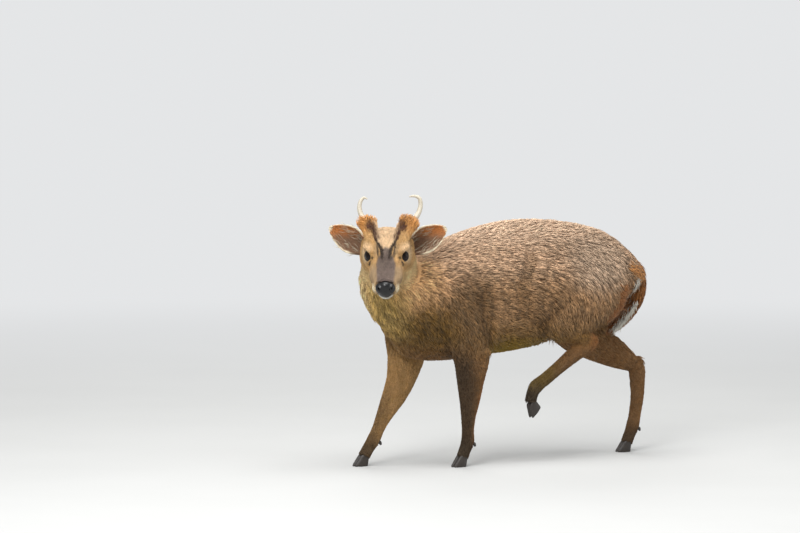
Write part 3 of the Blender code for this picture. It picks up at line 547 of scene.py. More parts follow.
# %% Guide lines
# Each guide: its places, its reach, and a push added to its direction
BODY_LIE = (
    (((0.26, 0.0, 0.42), (0.10, 0.0, 0.45), (-0.10, 0.0, 0.45), (-0.28, 0.0, 0.37)), 0.14, (-0.25, 0, -0.35)),
    (((0.32, 0.04, 0.42), (0.30, 0.02, 0.32), (0.24, 0.0, 0.24)), 0.09, (-0.25, 0, -0.2)),
    (((0.20, 0.06, 0.34), (0.15, 0.06, 0.24)) + LEFT_FORE[1:], 0.055, (-0.1, 0, 0)),
    (((0.22, -0.06, 0.34), (0.222, -0.055, 0.24)) + RIGHT_FORE[1:], 0.055, (-0.1, 0, 0)),
    (((-0.14, 0.06, 0.38), (-0.10, 0.064, 0.29)), 0.075, (-0.45, 0, -0.1)),
    (LEFT_HIND[:2], 0.04, (0, 0, -0.2)),
    (LEFT_HIND[1:], 0.035, (0, 0, 0)),
    (((-0.18, -0.06, 0.38), (-0.20, -0.06, 0.27)), 0.085, (-0.4, 0, -0.1)),
    (RIGHT_HIND[:2], 0.05, (0, 0, -0.1)),
    (RIGHT_HIND[1:], 0.035, (0, 0, 0)),
)
HEAD_LIE = (
    (((0.085, 0.0, 0.0), (0.02, 0.0, 0.02), (-0.05, 0.0, 0.03), (-0.10, 0.0, 0.0)), 0.03, (0, 0, 0)),
    (
        ((0.080, 0.022, -0.02), (0.02, 0.030, -0.02), (-0.05, 0.045, -0.03), (-0.11, 0.05, -0.05)),
        0.03, (0, 0, -0.15),
    ),
    (
        ((0.080, -0.022, -0.02), (0.02, -0.030, -0.02), (-0.05, -0.045, -0.03), (-0.11, -0.05, -0.05)),
        0.03, (0, 0, -0.15),
    ),
    (((0.070, 0.0, -0.045), (-0.02, 0.0, -0.062), (-0.10, 0.0, -0.06)), 0.03, (0, 0, -0.1)),
    (((-0.02, 0.030, 0.020), (-0.046, 0.036, 0.033), (-0.070, 0.046, 0.042)), 0.022, (0, 0, 0)),
    (((-0.02, -0.030, 0.020), (-0.046, -0.032, 0.033), (-0.070, -0.040, 0.042)), 0.022, (0, 0, 0)),
)
TAIL_LIE = (
    (
        ((-0.255, 0.0, 0.396), (-0.285, 0.0, 0.350), (-0.277, 0.0, 0.310), (-0.218, 0.0, 0.250)),
        0.05, (0.2, 0, 0),
    ),
)


def lie_from(points, lines):
    """Direction of the hair at each place, from guide lines of (places, reach, extra push)."""
    total = np.zeros_like(points)
    for places, reach, push in lines:
        for start, end in zip(np.array(places), np.array(places)[1:]):
            run = end - start
            share = np.clip((points - start) @ run / (run @ run), 0, 1)
            away = np.linalg.norm(points - start - share[:, None] * run, axis=1) / reach
            weight = np.exp(-2.5 * away * away) + 1e-9
            total += weight[:, None] * (run / np.linalg.norm(run) + np.array(push))
    return total


def coat_lie(world_points, normals, is_head, is_tail):
    """Unit directions that lie on the skin, root to tip."""
    lie = turned_from(lie_from(in_frame(world_points, BODY), BODY_LIE), BODY)
    face = turned_from(lie_from(in_frame(world_points, HEAD), HEAD_LIE), HEAD)
    tail = turned_from(lie_from(in_frame(world_points, BODY), TAIL_LIE), BODY)
    for field in (lie, face, tail):
        field /= np.linalg.norm(field, axis=1, keepdims=True) + 1e-12
    lie += is_head[:, None] * (face - lie)
    lie += is_tail[:, None] * (tail - lie)
    lie -= np.sum(lie * normals, axis=1, keepdims=True) * normals
    return lie / (np.linalg.norm(lie, axis=1, keepdims=True) + 1e-12)


print("guide lines", len(BODY_LIE) + len(HEAD_LIE) + len(TAIL_LIE))

# %% Length of the coat
def body_coat_length(points):
    forward, _, up = points.T
    length = 0.0165 + 0.003 * smoothly(up, 0.30, 0.42) + 0.0050 * (1 - smoothly(forward, -0.06, 0.06))
    leg = 1 - smoothly(up, 0.15, 0.27)
    raised = along_line(points, LEFT_HIND, 0.05)
    leg = np.maximum(leg, raised * (1 - smoothly(up, 0.23, 0.29)))
    length += leg * (0.0070 - length)
    foot = 1 - smoothly(up, 0.03, 0.10)
    length += foot * (0.0048 - length)
    neck = near(points, (0.31, 0.03, 0.34), (0.10, 0.10, 0.14))
    length += neck * (0.0185 - length)
    rump = near(points, (-0.28, 0.0, 0.37), (0.05, 0.05, 0.05))
    return length + rump * (0.024 - length)


def head_coat_length(points):
    along, side, up = points.T
    mirrored = np.stack([along, np.abs(side), up], axis=1)
    length = 0.0045 + 0.0075 * (1 - smoothly(along, -0.075, 0.02))
    length += near(mirrored, (-0.062, 0.042, 0.038), (0.032, 0.030, 0.032)) * 0.0022
    length += near(mirrored, (-0.002, 0.034, 0.002), (0.024, 0.018, 0.022)) * (0.0030 - length)
    muzzle = smoothly(along, 0.03, 0.07)
    return length + muzzle * (0.0034 - length)


def tail_coat_length(points):
    white = smoothly(points[:, 0] - tail_line(points[:, 2]), 0.004, 0.013)
    return 0.017 + 0.014 * white


def coat_length(world_points, is_head, is_tail):
    length = body_coat_length(in_frame(world_points, BODY))
    length += is_head * (head_coat_length(in_frame(world_points, HEAD)) - length)
    return length + is_tail * (tail_coat_length(in_frame(world_points, BODY)) - length)


print("hair of the flank", body_coat_length(np.array([(0.05, 0.08, 0.34)]))[0].round(4), "m")

# %% [markdown]
# ## Skin
# The solids of the flesh are cut apart by thin gaps. Copies of them are joined and remeshed into voxels a bit
# finer than the folds, which closes the gaps, and the result is smoothed. The solids include the coat, so
# the skin is then drawn in along its normals by the depth that the coat takes up when it lies down.

# %% Pieces and their modifiers
LEGS = tuple(f"leg_{end}_{side}" for end in ("fore", "hind") for side in ("left", "right"))
FLESH = ("head", "neck", "torso", "tail") + LEGS
SKIN_VOXEL = 0.0019
SKIN_TRIANGLES = 150000


def merged_copy(nodes):
    """One bmesh with copies of the nodes' meshes, each with its doubles merged."""
    shape = bmesh.new()
    for node in nodes:
        shape.from_mesh(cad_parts[node].data)
    bmesh.ops.remove_doubles(shape, verts=shape.verts, dist=0.000001)
    return shape


def new_piece(name, mesh, slot, *nodes):
    """An object that rides on the body and stands for the nodes."""
    piece = bpy.data.objects.new(name, mesh)
    bpy.context.scene.collection.objects.link(piece)
    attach(piece, "root")
    if nodes:
        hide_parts(*nodes)
    return piece


def settle(piece):
    """Applies a piece's modifiers to its mesh."""
    bpy.context.view_layer.update()
    seen = piece.evaluated_get(bpy.context.evaluated_depsgraph_get())
    mesh = bpy.data.meshes.new_from_object(seen)
    piece.modifiers.clear()
    old = piece.data
    piece.data = mesh
    bpy.data.meshes.remove(old)


def modify(piece, kind, **settings):
    """Adds a modifier with its settings."""
    modifier = piece.modifiers.new(kind.lower(), kind)
    for name, value in settings.items():
        setattr(modifier, name, value)


def give_finish(piece, finish):
    """Smooth shading and one finish all over a piece."""
    piece.data.shade_smooth()
    piece.data.materials.clear()
    piece.data.materials.append(finish)


print("flesh", len(FLESH), "nodes")

# %% Meshes as arrays
def read(items, name, width, kind=np.float32):
    """One attribute of a mesh's vertices, loops or triangles, a row to each."""
    values = np.empty(len(items) * width, kind)
    items.foreach_get(name, values)
    return values.reshape(-1, width)


def places_of(mesh):
    return read(mesh.vertices, "co", 3).astype(float)


def normals_of(mesh):
    return read(mesh.vertex_normals, "vector", 3).astype(float)


def triangles_of(mesh, name="vertices"):
    """The corners of a mesh's triangles, by vertex or by loop."""
    mesh.calc_loop_triangles()
    return read(mesh.loop_triangles, name, 3, np.int32)


def move_to(mesh, places):
    """Puts a mesh's vertices at the places."""
    mesh.vertices.foreach_set("co", places.astype(np.float32).ravel())
    mesh.update()


print("vertices of the torso", len(places_of(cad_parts["torso"].data)))

# %% Join the flesh
shape = merged_copy(FLESH)
skin_mesh = bpy.data.meshes.new("skin")
shape.to_mesh(skin_mesh)
shape.free()
skin = new_piece("skin", skin_mesh, "coat", *FLESH)
modify(skin, "REMESH", mode="VOXEL", voxel_size=SKIN_VOXEL)
settle(skin)
modify(skin, "SMOOTH", factor=0.5, iterations=6)
settle(skin)
print("skin", len(skin.data.vertices), "points")

# %% Which part of the skin is head or tail
def part_shares(world_points):
    """How much each place belongs to the head and to the tail, from 0 to 1."""
    head = in_frame(world_points, HEAD)
    body = in_frame(world_points, BODY)
    is_head = smoothly(head[:, 0], -0.118, -0.082) * smoothly(head[:, 2], -0.085, -0.066)
    is_head *= 1 - smoothly(np.abs(head[:, 1]), 0.075, 0.095)
    tail_gap = body[:, 0] - tail_line(body[:, 2])
    is_tail = 1 - smoothly(np.abs(tail_gap), 0.016, 0.022)
    is_tail *= 1 - smoothly(np.abs(body[:, 1] - 0.002), 0.026, 0.032)
    is_tail *= smoothly(body[:, 2], 0.240, 0.246) * (1 - smoothly(body[:, 2], 0.392, 0.404))
    return is_head, is_tail


is_head, is_tail = part_shares(places_of(skin.data))
print("points of the head", int(is_head.sum()), "and of the tail", int(is_tail.sum()))

# %% Relief of the skin
COAT_DEPTH_SHARE = 0.16
CREASE_DEPTH = 0.0048
MUSCLE_RISE = 0.0030
MUSCLES = (((0.165, 0, 0.325), (0.05, 1, 0.075)), ((-0.075, 0, 0.345), (0.08, 1, 0.07)))
EYE_SINK = 0.0012
LID_REACH = 0.009
LID_LOWEST = 0.0010
LID_HIGHEST = 0.0022
LID_SLOPE = 0.8


def relief(points):
    """How far the skin rises over the muscles of shoulder and thigh, and sinks in the creases beside them."""
    forward, left, up = in_frame(points, BODY).T
    side_on = np.stack([forward, np.zeros(len(points)), up], axis=1)
    rise = sum(near(side_on, centre, radii) for centre, radii in MUSCLES) * MUSCLE_RISE
    rise -= sum(along_line(side_on, line, 0.026) for line in CREASES) * CREASE_DEPTH
    return rise * smoothly(np.abs(left), 0.03, 0.06)


def open_eyes(points):
    """Sinks the skin behind the eyeballs inside the lids, and lifts it clear of them outside."""
    for side in (1, -1):
        distance, ahead, away = around_eye(points, side)
        centre = np.array(HEAD @ Vector((EYE_FROM_FACE.x, side * EYE_SIDE, EYE_FROM_FACE.z)))
        wanted = distance.copy()
        close = (ahead > 0) & (distance < EYE_RADIUS * 1.8)
        inside = close & (away < LID_RADIUS)
        wanted[inside] = np.minimum(distance[inside], EYE_RADIUS - EYE_SINK)
        outside = close & (away >= LID_RADIUS) & (away < LID_RADIUS + LID_REACH)
        highest = EYE_RADIUS + LID_HIGHEST + (away[outside] - LID_RADIUS) * LID_SLOPE
        wanted[outside] = np.clip(distance[outside], EYE_RADIUS + LID_LOWEST, highest)
        points = centre + (points - centre) * (wanted / np.maximum(distance, 1e-9))[:, None]
    return points


print("muscles", len(MUSCLES), "creases", len(CREASES))

# %% Draw the skin in
places = places_of(skin.data)
depth = COAT_DEPTH_SHARE * coat_length(places, is_head, is_tail)
body_share = (1 - is_head) * (1 - is_tail)
places += normals_of(skin.data) * (relief(places) * body_share - depth)[:, None]
move_to(skin.data, places)
modify(skin, "SMOOTH", factor=0.4, iterations=2)
modify(skin, "DECIMATE", ratio=min(1.0, SKIN_TRIANGLES / (2 * len(skin.data.polygons))))
settle(skin)
move_to(skin.data, open_eyes(places_of(skin.data)))
print("skin", len(skin.data.polygons), "faces, drawn in by up to", round(depth.max() * 1000, 1), "mm")

# %% [markdown]
# ## Tufts
# Each tuft is a thin, flat, tapering lock of three sides that starts in the skin, leaves it at a low angle
# and bends back along it. Thousands are made at once with arrays: a small pattern of points is scaled,
# placed at a root and turned to the lie of the coat there.

# %% Scatter roots over the skin
rng = np.random.default_rng(7)
TUFTS = 148000


def scatter(mesh, density_at, count):
    """Random places on a mesh's surface with their normals, more of them where the density is higher."""
    places, normals, corners = places_of(mesh), normals_of(mesh), triangles_of(mesh)
    a, b, c = (places[corners[:, i]] for i in range(3))
    area = np.linalg.norm(np.cross(b - a, c - a), axis=1) / 2
    middle = (a + b + c) / 3
    weight = area * density_at(middle)
    chosen = rng.choice(len(corners), count, p=weight / weight.sum())
    u, v = rng.random((2, count))
    flip = u + v > 1
    u[flip], v[flip] = 1 - u[flip], 1 - v[flip]
    mix = np.stack([1 - u - v, u, v], axis=1)[:, :, None]
    roots = (places[corners[chosen]] * mix).sum(axis=1)
    out = (normals[corners[chosen]] * mix).sum(axis=1)
    out /= np.linalg.norm(out, axis=1, keepdims=True)
    return roots, out, chosen, mix[:, :, 0]


def density(points):
    """Tufts to an area: short hair needs more of them."""
    length = coat_length(points, *part_shares(points))
    return (0.012 / length) ** 1.35


roots, out, faces, mixes = scatter(skin.data, density, TUFTS)
print("roots", len(roots))

# %% [markdown]
# The bake needs each tuft to have its own small patch of texture, at the place of its root on an unwrap of
# the skin. The skin is unwrapped once, and a tuft takes the coordinates of the spot where it grows.

# %% Unwrap the skin
def unwrap(piece):
    """Smart projection of the piece onto a UV map named OFBake."""
    piece.data.uv_layers.new(name="OFBake")
    bpy.context.view_layer.objects.active = piece
    piece.select_set(True)
    bpy.ops.object.mode_set(mode="EDIT")
    bpy.ops.mesh.select_all(action="SELECT")
    bpy.ops.uv.smart_project(angle_limit=math.radians(66), island_margin=0.002)
    bpy.ops.object.mode_set(mode="OBJECT")
    piece.select_set(False)


def uv_at(mesh, chosen, mixes):
    """Texture coordinates at places given by their triangle and by their shares of its corners."""
    corners = read(mesh.uv_layers["OFBake"].data, "uv", 2)[triangles_of(mesh, "loops")[chosen]]
    return (corners * mixes[:, :, None]).sum(axis=1)


unwrap(skin)
root_uv = uv_at(skin.data, faces, mixes)
print("unwrapped", len(skin.data.loops), "corners")

# %% Shape of one tuft
# Each section: share of the length, share of the width, and rise as a share of the length
SECTIONS = ((0.0, 0.85, -0.06), (0.50, 1.0, 0.13))
TIP_LIFT = 0.10
KEEL = 0.30
PATCH = 0.003


def tuft_mesh(name, roots, out, lie, length, width, colours, uv, lift):
    """One mesh of many tufts: rings of three points at each section, and a tip."""
    count = len(roots)
    across = np.cross(out, lie)
    across /= np.linalg.norm(across, axis=1, keepdims=True) + 1e-12
    rows = []
    for share, wide, rise in SECTIONS:
        spine = roots + lie * (length * share)[:, None] + out * (length * rise * lift)[:, None]
        half = across * (width * wide / 2)[:, None]
        keel = out * (width * wide * KEEL)[:, None]
        rows += [spine - half, spine + keel, spine + half]
    tip = roots + lie * length[:, None] + out * (length * TIP_LIFT * lift)[:, None]
    rows.append(tip)
    points = np.stack(rows, axis=1)
    faces = []
    for ring in range(len(SECTIONS) - 1):
        low, high = ring * 3, ring * 3 + 3
        for i in range(3):
            j = (i + 1) % 3
            faces += [(low + j, low + i, high + i), (low + j, high + i, high + j)]
    top = 3 * (len(SECTIONS) - 1)
    last = 3 * len(SECTIONS)
    faces += [(top + (i + 1) % 3, top + i, last) for i in range(3)]
    pattern = np.array(faces)
    per_tuft = len(rows)
    corners = (pattern[None] + (np.arange(count) * per_tuft)[:, None, None]).reshape(-1, 3)
    mesh = bpy.data.meshes.new(name)
    mesh.vertices.add(count * per_tuft)
    mesh.vertices.foreach_set("co", points.reshape(-1).astype(np.float32))
    mesh.loops.add(len(corners) * 3)
    mesh.loops.foreach_set("vertex_index", corners.reshape(-1).astype(np.int32))
    mesh.polygons.add(len(corners))
    mesh.polygons.foreach_set("loop_start", np.arange(0, len(corners) * 3, 3, dtype=np.int32))
    mesh.update(calc_edges=True)
    paint_points(mesh, np.repeat(colours, per_tuft, axis=0))
    height = np.array([share for share, _, _ in SECTIONS for _ in range(3)] + [1.0])
    store(mesh, "height", np.tile(height, count))
    local = np.stack([np.tile([0.0, 0.5, 1.0], len(SECTIONS)).tolist() + [0.5], height.tolist()], axis=1)
    patches = uv[:, None, :] + (local[None] - 0.5) * PATCH
    layer = mesh.uv_layers.new(name="OFBake")
    layer.data.foreach_set("uv", patches.reshape(-1, 2)[corners.reshape(-1)].astype(np.float32).ravel())
    return mesh


def paint_points(mesh, colours):
    """Keeps a colour for each point in the attribute named coat."""
    layer = mesh.color_attributes.new("coat", "FLOAT_COLOR", "POINT")
    full = np.concatenate([colours, np.ones((len(colours), 1))], axis=1)
    layer.data.foreach_set("color", full.astype(np.float32).ravel())


def store(mesh, name, values):
    """Keeps one number for each point."""
    layer = mesh.attributes.new(name, "FLOAT", "POINT")
    layer.data.foreach_set("value", np.asarray(values, np.float32))


print("triangles to a tuft", 6 * (len(SECTIONS) - 1) + 3)

# %% [markdown]
# ## Coat and skin finishes
# Hair is a dull dielectric with a soft gloss. Its colour is the marking, with a fine streak, darker at the
# root and paler at the tip by a slow mottle, which is what gives a grizzled coat its depth.

# %% Coat finish
def coat_material(name, root_dark, tip_pale):
    material, tree, shader = new_material(name)
    shader.inputs["Roughness"].default_value = 0.62
    shader.inputs["Specular IOR Level"].default_value = 0.16
    marking = node_of(tree, "ShaderNodeVertexColor", {"layer_name": "coat"})
    height = node_of(tree, "ShaderNodeAttribute", {"attribute_name": "height"}, None, 2)
    mottle = noise(tree, object_place(tree), 55.0, 4.0)
    fine = noise(tree, object_place(tree), 420.0, 2.0)
    dark = blend(tree, (1 - height) * root_dark + (fine - 0.5) * 0.25, marking, (0.012, 0.008, 0.006, 1))
    tip = blend(tree, 0.45, marking, (0.85, 0.66, 0.44, 1))
    pale = blend(tree, height * height * tip_pale * mottle * 1.6, dark, tip)
    plug(tree, pale, shader, "Base Color")
    bumped(tree, shader, fine, 0.25, 0.0006)
    return material


def skin_material():
    material, tree, shader = new_material("skin_finish")
    shader.inputs["Roughness"].default_value = 0.8
    shader.inputs["Specular IOR Level"].default_value = 0.2
    marking = node_of(tree, "ShaderNodeVertexColor", {"layer_name": "coat"})
    streak = noise(tree, object_place(tree), 300.0, 4.0)
    plug(tree, blend(tree, streak * 0.55, marking, (0.02, 0.013, 0.009, 1)), shader, "Base Color")
    bumped(tree, shader, streak, 0.5, 0.0012)
    return material


skin_places = places_of(skin.data)
paint_points(skin.data, coat_colours(skin_places, *part_shares(skin_places)))
give_finish(skin, skin_material())
body_coat = coat_material("body_coat_finish", 0.50, 0.42)
print("finishes", body_coat.name)

# %% [markdown]
# ## The coat
# The roots are shared out to pieces by the part of the body they grow on. Every tuft varies a little in
# length, width, direction and tone, and neighbours lean together in clumps, as damp coarse hair does.

# %% Clumps and streaks
WAVES = 14


def clump_lean(points, size, seed):
    """A slow random vector field: sums of waves, so that neighbours lean the same way."""
    draw = np.random.default_rng(seed)
    lean = np.zeros_like(points)
    for _ in range(WAVES):
        wave = draw.normal(size=3) * 2 * math.pi / size
        phase = draw.random() * 2 * math.pi
        lean += np.sin(points @ wave + phase)[:, None] * draw.normal(size=3)
    return lean / math.sqrt(WAVES)


def streaks(points, size, seed):
    """A slow random number, drawn out backwards and down as the hair of the flank runs."""
    run = turned_from(np.array((-0.80, 0.0, -0.60)), BODY)
    squeezed = points - 0.88 * (points @ run)[:, None] * run
    return clump_lean(squeezed, size, seed)[:, :1]


print("waves to a field", WAVES)

# %% Vary the tufts
is_head, is_tail = part_shares(roots)
lie = coat_lie(roots, out, is_head, is_tail)
lean = clump_lean(roots, 0.030, 3) * 0.11 + clump_lean(roots, 0.009, 5) * 0.10
lie = lie + lean + rng.normal(size=lie.shape) * 0.07
head_places = in_frame(roots, HEAD)
mirrored = np.stack([head_places[:, 0], np.abs(head_places[:, 1]), head_places[:, 2]], axis=1)
shaggy = is_head * near(mirrored, (-0.062, 0.042, 0.038), (0.034, 0.030, 0.034))
ruff = is_head * near(mirrored, (-0.050, 0.055, -0.030), (0.050, 0.030, 0.045))
lie += rng.normal(size=lie.shape) * shaggy[:, None] * 0.55
lie -= np.sum(lie * out, axis=1, keepdims=True) * out
lie /= np.linalg.norm(lie, axis=1, keepdims=True)
length = coat_length(roots, is_head, is_tail) * rng.uniform(0.75, 1.25, len(roots))
width = np.clip(length * 0.115, 0.0008, 0.0018) * rng.uniform(0.7, 1.25, len(roots))
blur = 0.0024 - 0.0017 * is_head + 0.0026 * shaggy
colours = coat_colours(roots + rng.normal(size=roots.shape) * blur[:, None], is_head, is_tail)
tone = 1 + 0.13 * clump_lean(roots, 0.020, 11)[:, :1] + 0.12 * rng.normal(size=(len(roots), 1))
tone += 0.22 * (shaggy + is_tail)[:, None] * rng.normal(size=(len(roots), 1))
height = in_frame(roots, BODY)[:, 2]
flank = smoothly(height, 0.22, 0.28) * (1 - 0.45 * smoothly(height, 0.39, 0.45))
flank *= 1 - is_head
flank *= 1 - is_tail
tone += (0.33 * streaks(roots, 0.0055, 17) + 0.22 * streaks(roots, 0.036, 19)) * flank[:, None]
colours = np.clip(colours * np.clip(tone, 0.40, 1.7), 0.002, 1)
lift = rng.uniform(0.7, 1.35, len(roots)) * (1 + 1.5 * shaggy + 1.2 * ruff)
print("mean length", round(length.mean() * 1000, 1), "mm")

# %% Keep the eyes and the nose clear
NOSE_HEART = (0.084, 0.0, -0.009)
NOSE_RADII = (0.0150, 0.0185, 0.0195)
LID_CLEARANCE = 0.0014


def clear_of_bare(points):
    """False where no hair grows: over the eyeballs and on the pad of the nose."""
    head = in_frame(points, HEAD)
    keep = np.ones(len(points), bool)
    for side in (1, -1):
        distance, ahead, away = around_eye(points, side)
        keep &= (ahead < 0) | (away > LID_RADIUS + LID_CLEARANCE) | (distance > 2 * EYE_RADIUS)
    nose = (head - np.array(NOSE_HEART)) / np.array(NOSE_RADII)
    return keep & (np.linalg.norm(nose, axis=1) > 1)


keep = clear_of_bare(roots) & clear_of_bare(roots + lie * (length * 0.5)[:, None])
keep &= clear_of_bare(roots + lie * length[:, None])
print("kept", int(keep.sum()), "of", len(keep))

# %% Build the coat pieces
body_places = in_frame(roots, BODY)
zones = {
    "coat_head": is_head > 0.5,
    "coat_tail": is_tail > 0.5,
    "coat_fore": body_places[:, 0] > 0.12,
    "coat_middle_left": (body_places[:, 0] > -0.09) & (body_places[:, 1] > 0),
    "coat_middle_right": body_places[:, 0] > -0.09,
    "coat_hind_left": body_places[:, 1] > 0,
    "coat_hind_right": np.ones(len(roots), bool),
}
MOST_TUFTS = 20000


def coat_piece(name, slot, finish, *tufts):
    """A piece of tufts that rides on the body."""
    mesh = tuft_mesh(name, *tufts)
    mesh.materials.append(finish)
    mesh.shade_smooth()
    return new_piece(name, mesh, slot)


free = keep.copy()
pieces = []
for name, zone in zones.items():
    members = np.flatnonzero(zone & free)
    free[members] = False
    parts_needed = max(1, math.ceil(len(members) / MOST_TUFTS))
    for number, share in enumerate(np.array_split(members, parts_needed)):
        pieces.append(coat_piece(
            f"{name}_{number + 1}", "coat", body_coat, roots[share], out[share], lie[share], length[share],
            width[share], colours[share], root_uv[share], lift[share],
        ))
print("coat pieces", len(pieces), "triangles", sum(len(piece.data.polygons) for piece in pieces))

# %% [markdown]
# ## Single locks
# A few places carry longer hair of a colour of its own: the white fringe of the tail, the white and orange
# tufts at its root, and the rust-brown edge of the thigh. Each set starts along a line, laid on the skin,
# and points one way with some spread.

# %% Single locks
FRINGE = ((-0.262, 0.030, 0.318), (-0.244, 0.026, 0.290), (-0.222, 0.018, 0.262))
TAIL_ROOT = ((-0.256, 0.034, 0.362), (-0.262, 0.034, 0.348))
RUMP_EDGE = ((-0.222, 0.052, 0.385), (-0.250, 0.042, 0.372), (-0.266, 0.030, 0.366))
THIGH_EDGE = ((-0.200, 0.075, 0.350), (-0.195, 0.078, 0.310), (-0.175, 0.078, 0.280))
# Colour, line of the roots, number, length, direction
LOCKS = (
    ("white", FRINGE, 300, 0.020, (0.50, 0.60, -0.9)),
    ("white", TAIL_ROOT, 130, 0.017, (-0.1, 0.6, -1.0)),
    ("rump", RUMP_EDGE, 170, 0.022, (-0.9, 0.2, -0.35)),
    ("leg_back", THIGH_EDGE, 500, 0.024, (-0.8, 0.1, -0.6)),
)
LOCK_SPREAD = 0.005
LOCK_WIDTH = 0.0014
LOCK_LIFT = 1.6
tree_of_skin = BVHTree.FromObject(skin, bpy.context.evaluated_depsgraph_get())


def lay_locks(name, line, count, reach, heading):
    """Roots along a line, moved onto the skin, with their tufts' directions, lengths and colours."""
    places = np.array([BODY @ Vector(place) for place in line])
    along = rng.uniform(0, len(line) - 1, count)
    wanted = np.stack([np.interp(along, range(len(line)), places[:, i]) for i in range(3)], axis=1)
    wanted += rng.normal(size=wanted.shape) * LOCK_SPREAD
    found = [tree_of_skin.find_nearest(Vector(place)) for place in wanted]
    roots = np.array([hit[0] for hit in found])
    out = np.array([hit[1] for hit in found])
    lie = turned_from(np.array(heading), BODY) + rng.normal(size=roots.shape) * 0.16
    lie -= np.sum(lie * out, axis=1, keepdims=True) * out * 0.8
    lie /= np.linalg.norm(lie, axis=1, keepdims=True)
    colours = COAT[name] * rng.uniform(0.65, 1.05, (count, 1))
    return roots, out, lie, reach * rng.uniform(0.6, 1.15, count), np.clip(colours, 0, 1)


sets = [lay_locks(*lock) for lock in LOCKS]
lock_roots, lock_out, lock_lie, lock_length, lock_colours = (np.concatenate(part) for part in zip(*sets))
lock_uv = rng.uniform(0.1, 0.9, (len(lock_roots), 2))
coat_piece(
    "coat_locks", "coat", body_coat, lock_roots, lock_out, lock_lie, lock_length,
    np.full(len(lock_roots), LOCK_WIDTH), lock_colours, lock_uv, np.full(len(lock_roots), LOCK_LIFT),
)
print("locks", len(lock_roots))

# %% [markdown]
# ## Eyes
# A deer's eye is almost all dark iris. The eyeball is a smooth sphere with a slightly raised cornea and a
# thin clear coat. A dark ring, a small circle spun round the line of sight, stands for the bare edges of
# the lids.

# %% Finishes of the eyes
LID_THICKNESS = 0.0014
LID_STANDS = 0.0004
CORNEA_FROM = 0.72
CORNEA_RISE = 0.18


def eye_material():
    material, tree, shader = new_material("eye_finish")
    shader.inputs["Roughness"].default_value = 0.10
    shader.inputs["Specular IOR Level"].default_value = 0.12
    shader.inputs["Coat Weight"].default_value = 0.10
    shader.inputs["Coat Roughness"].default_value = 0.0
    grain = noise(tree, object_place(tree), 700.0)
    plug(tree, blend(tree, grain, (0.003, 0.002, 0.002, 1), (0.014, 0.008, 0.005, 1)), shader, "Base Color")
    return material


def lid_material():
    material, tree, shader = new_material("lid_finish")
    shader.inputs["Roughness"].default_value = 0.45
    grain = noise(tree, object_place(tree), 500.0)
    plug(tree, blend(tree, grain, (0.010, 0.007, 0.006, 1), (0.035, 0.024, 0.020, 1)), shader, "Base Color")
    bumped(tree, shader, grain, 0.3, 0.0003)
    return material


def placed_piece(name, shape, turn, slot, finish, *nodes):
    """Moves a modelled shape to its place and makes a smooth piece of it."""
    bmesh.ops.transform(shape, matrix=turn, verts=shape.verts)
    mesh = bpy.data.meshes.new(name)
    shape.to_mesh(mesh)
    shape.free()
    mesh.shade_smooth()
    mesh.materials.append(finish)
    return new_piece(name, mesh, slot, *nodes)


eye_finish = eye_material()
lid_finish = lid_material()
print("finishes", eye_finish.name, lid_finish.name)

# %% Build the eyes
for name, side in (("eye_left", 1), ("eye_right", -1)):
    aim = HEAD.to_3x3() @ Vector((EYE_LOOKS.x, side * EYE_LOOKS.y, EYE_LOOKS.z))
    turn = Matrix.Translation(middle(name)) @ aim.to_track_quat("Z", "Y").to_matrix().to_4x4()
    shape = bmesh.new()
    bmesh.ops.create_uvsphere(shape, u_segments=40, v_segments=24, radius=EYE_RADIUS)
    for vertex in shape.verts:
        vertex.co.z += max(0.0, vertex.co.z - EYE_RADIUS * CORNEA_FROM) * CORNEA_RISE
    placed_piece(name + "_ball", shape, turn, "eye", eye_finish, name)
    shape = bmesh.new()
    ring = bmesh.ops.create_circle(shape, segments=12, radius=LID_THICKNESS)
    ahead = math.sqrt(EYE_RADIUS ** 2 - LID_RADIUS ** 2) + LID_STANDS
    stand = Matrix.Translation((LID_RADIUS, 0, ahead)) @ Matrix.Rotation(math.radians(90), 4, "X")
    bmesh.ops.transform(shape, matrix=stand, verts=ring["verts"])
    bmesh.ops.spin(
        shape, geom=list(shape.verts) + list(shape.edges), cent=(0, 0, 0), axis=(0, 0, 1),
        angle=2 * math.pi, steps=48, use_merge=True,
    )
    bmesh.ops.recalc_face_normals(shape, faces=shape.faces)
    placed_piece(name + "_lids", shape, turn, "bare_skin", lid_finish)
print("eyes done")

# %% [markdown]
# ## Nose
# The pad of the nose is bare, black and moist, with a fine pebble. The solid already has its outline, so a
# copy is subdivided for a smooth surface and the finish does the rest.

# %% Finish of the nose
def nose_material():
    material, tree, shader = new_material("nose_finish")
    shader.inputs["Specular IOR Level"].default_value = 0.20
    shader.inputs["Coat Weight"].default_value = 0.42
    shader.inputs["Coat Roughness"].default_value = 0.18
    pebble = node_of(tree, "ShaderNodeTexVoronoi", None, {"Vector": object_place(tree), "Scale": 900.0})
    mottle = noise(tree, object_place(tree), 160.0)
    plug(tree, blend(tree, mottle, (0.003, 0.003, 0.003, 1), (0.010, 0.009, 0.010, 1)), shader, "Base Color")
    plug(tree, 0.30 + mottle * 0.2, shader, "Roughness")
    bumped(tree, shader, pebble, 0.35, 0.0004)
    return material


nose_finish = nose_material()
print("finish", nose_finish.name)

# %% Finer copies of the solids
FINE_VOXEL = 0.0005
SWELL = 0.0005


def smooth_copy(name, node, slot, finish, levels=2):
    """A finer copy of a node's mesh that stands for it."""
    shape = merged_copy([node])
    mesh = bpy.data.meshes.new(name)
    shape.to_mesh(mesh)
    shape.free()
    piece = new_piece(name, mesh, slot, node)
    modify(piece, "SUBSURF", levels=levels, render_levels=levels)
    settle(piece)
    give_finish(piece, finish)
    return piece


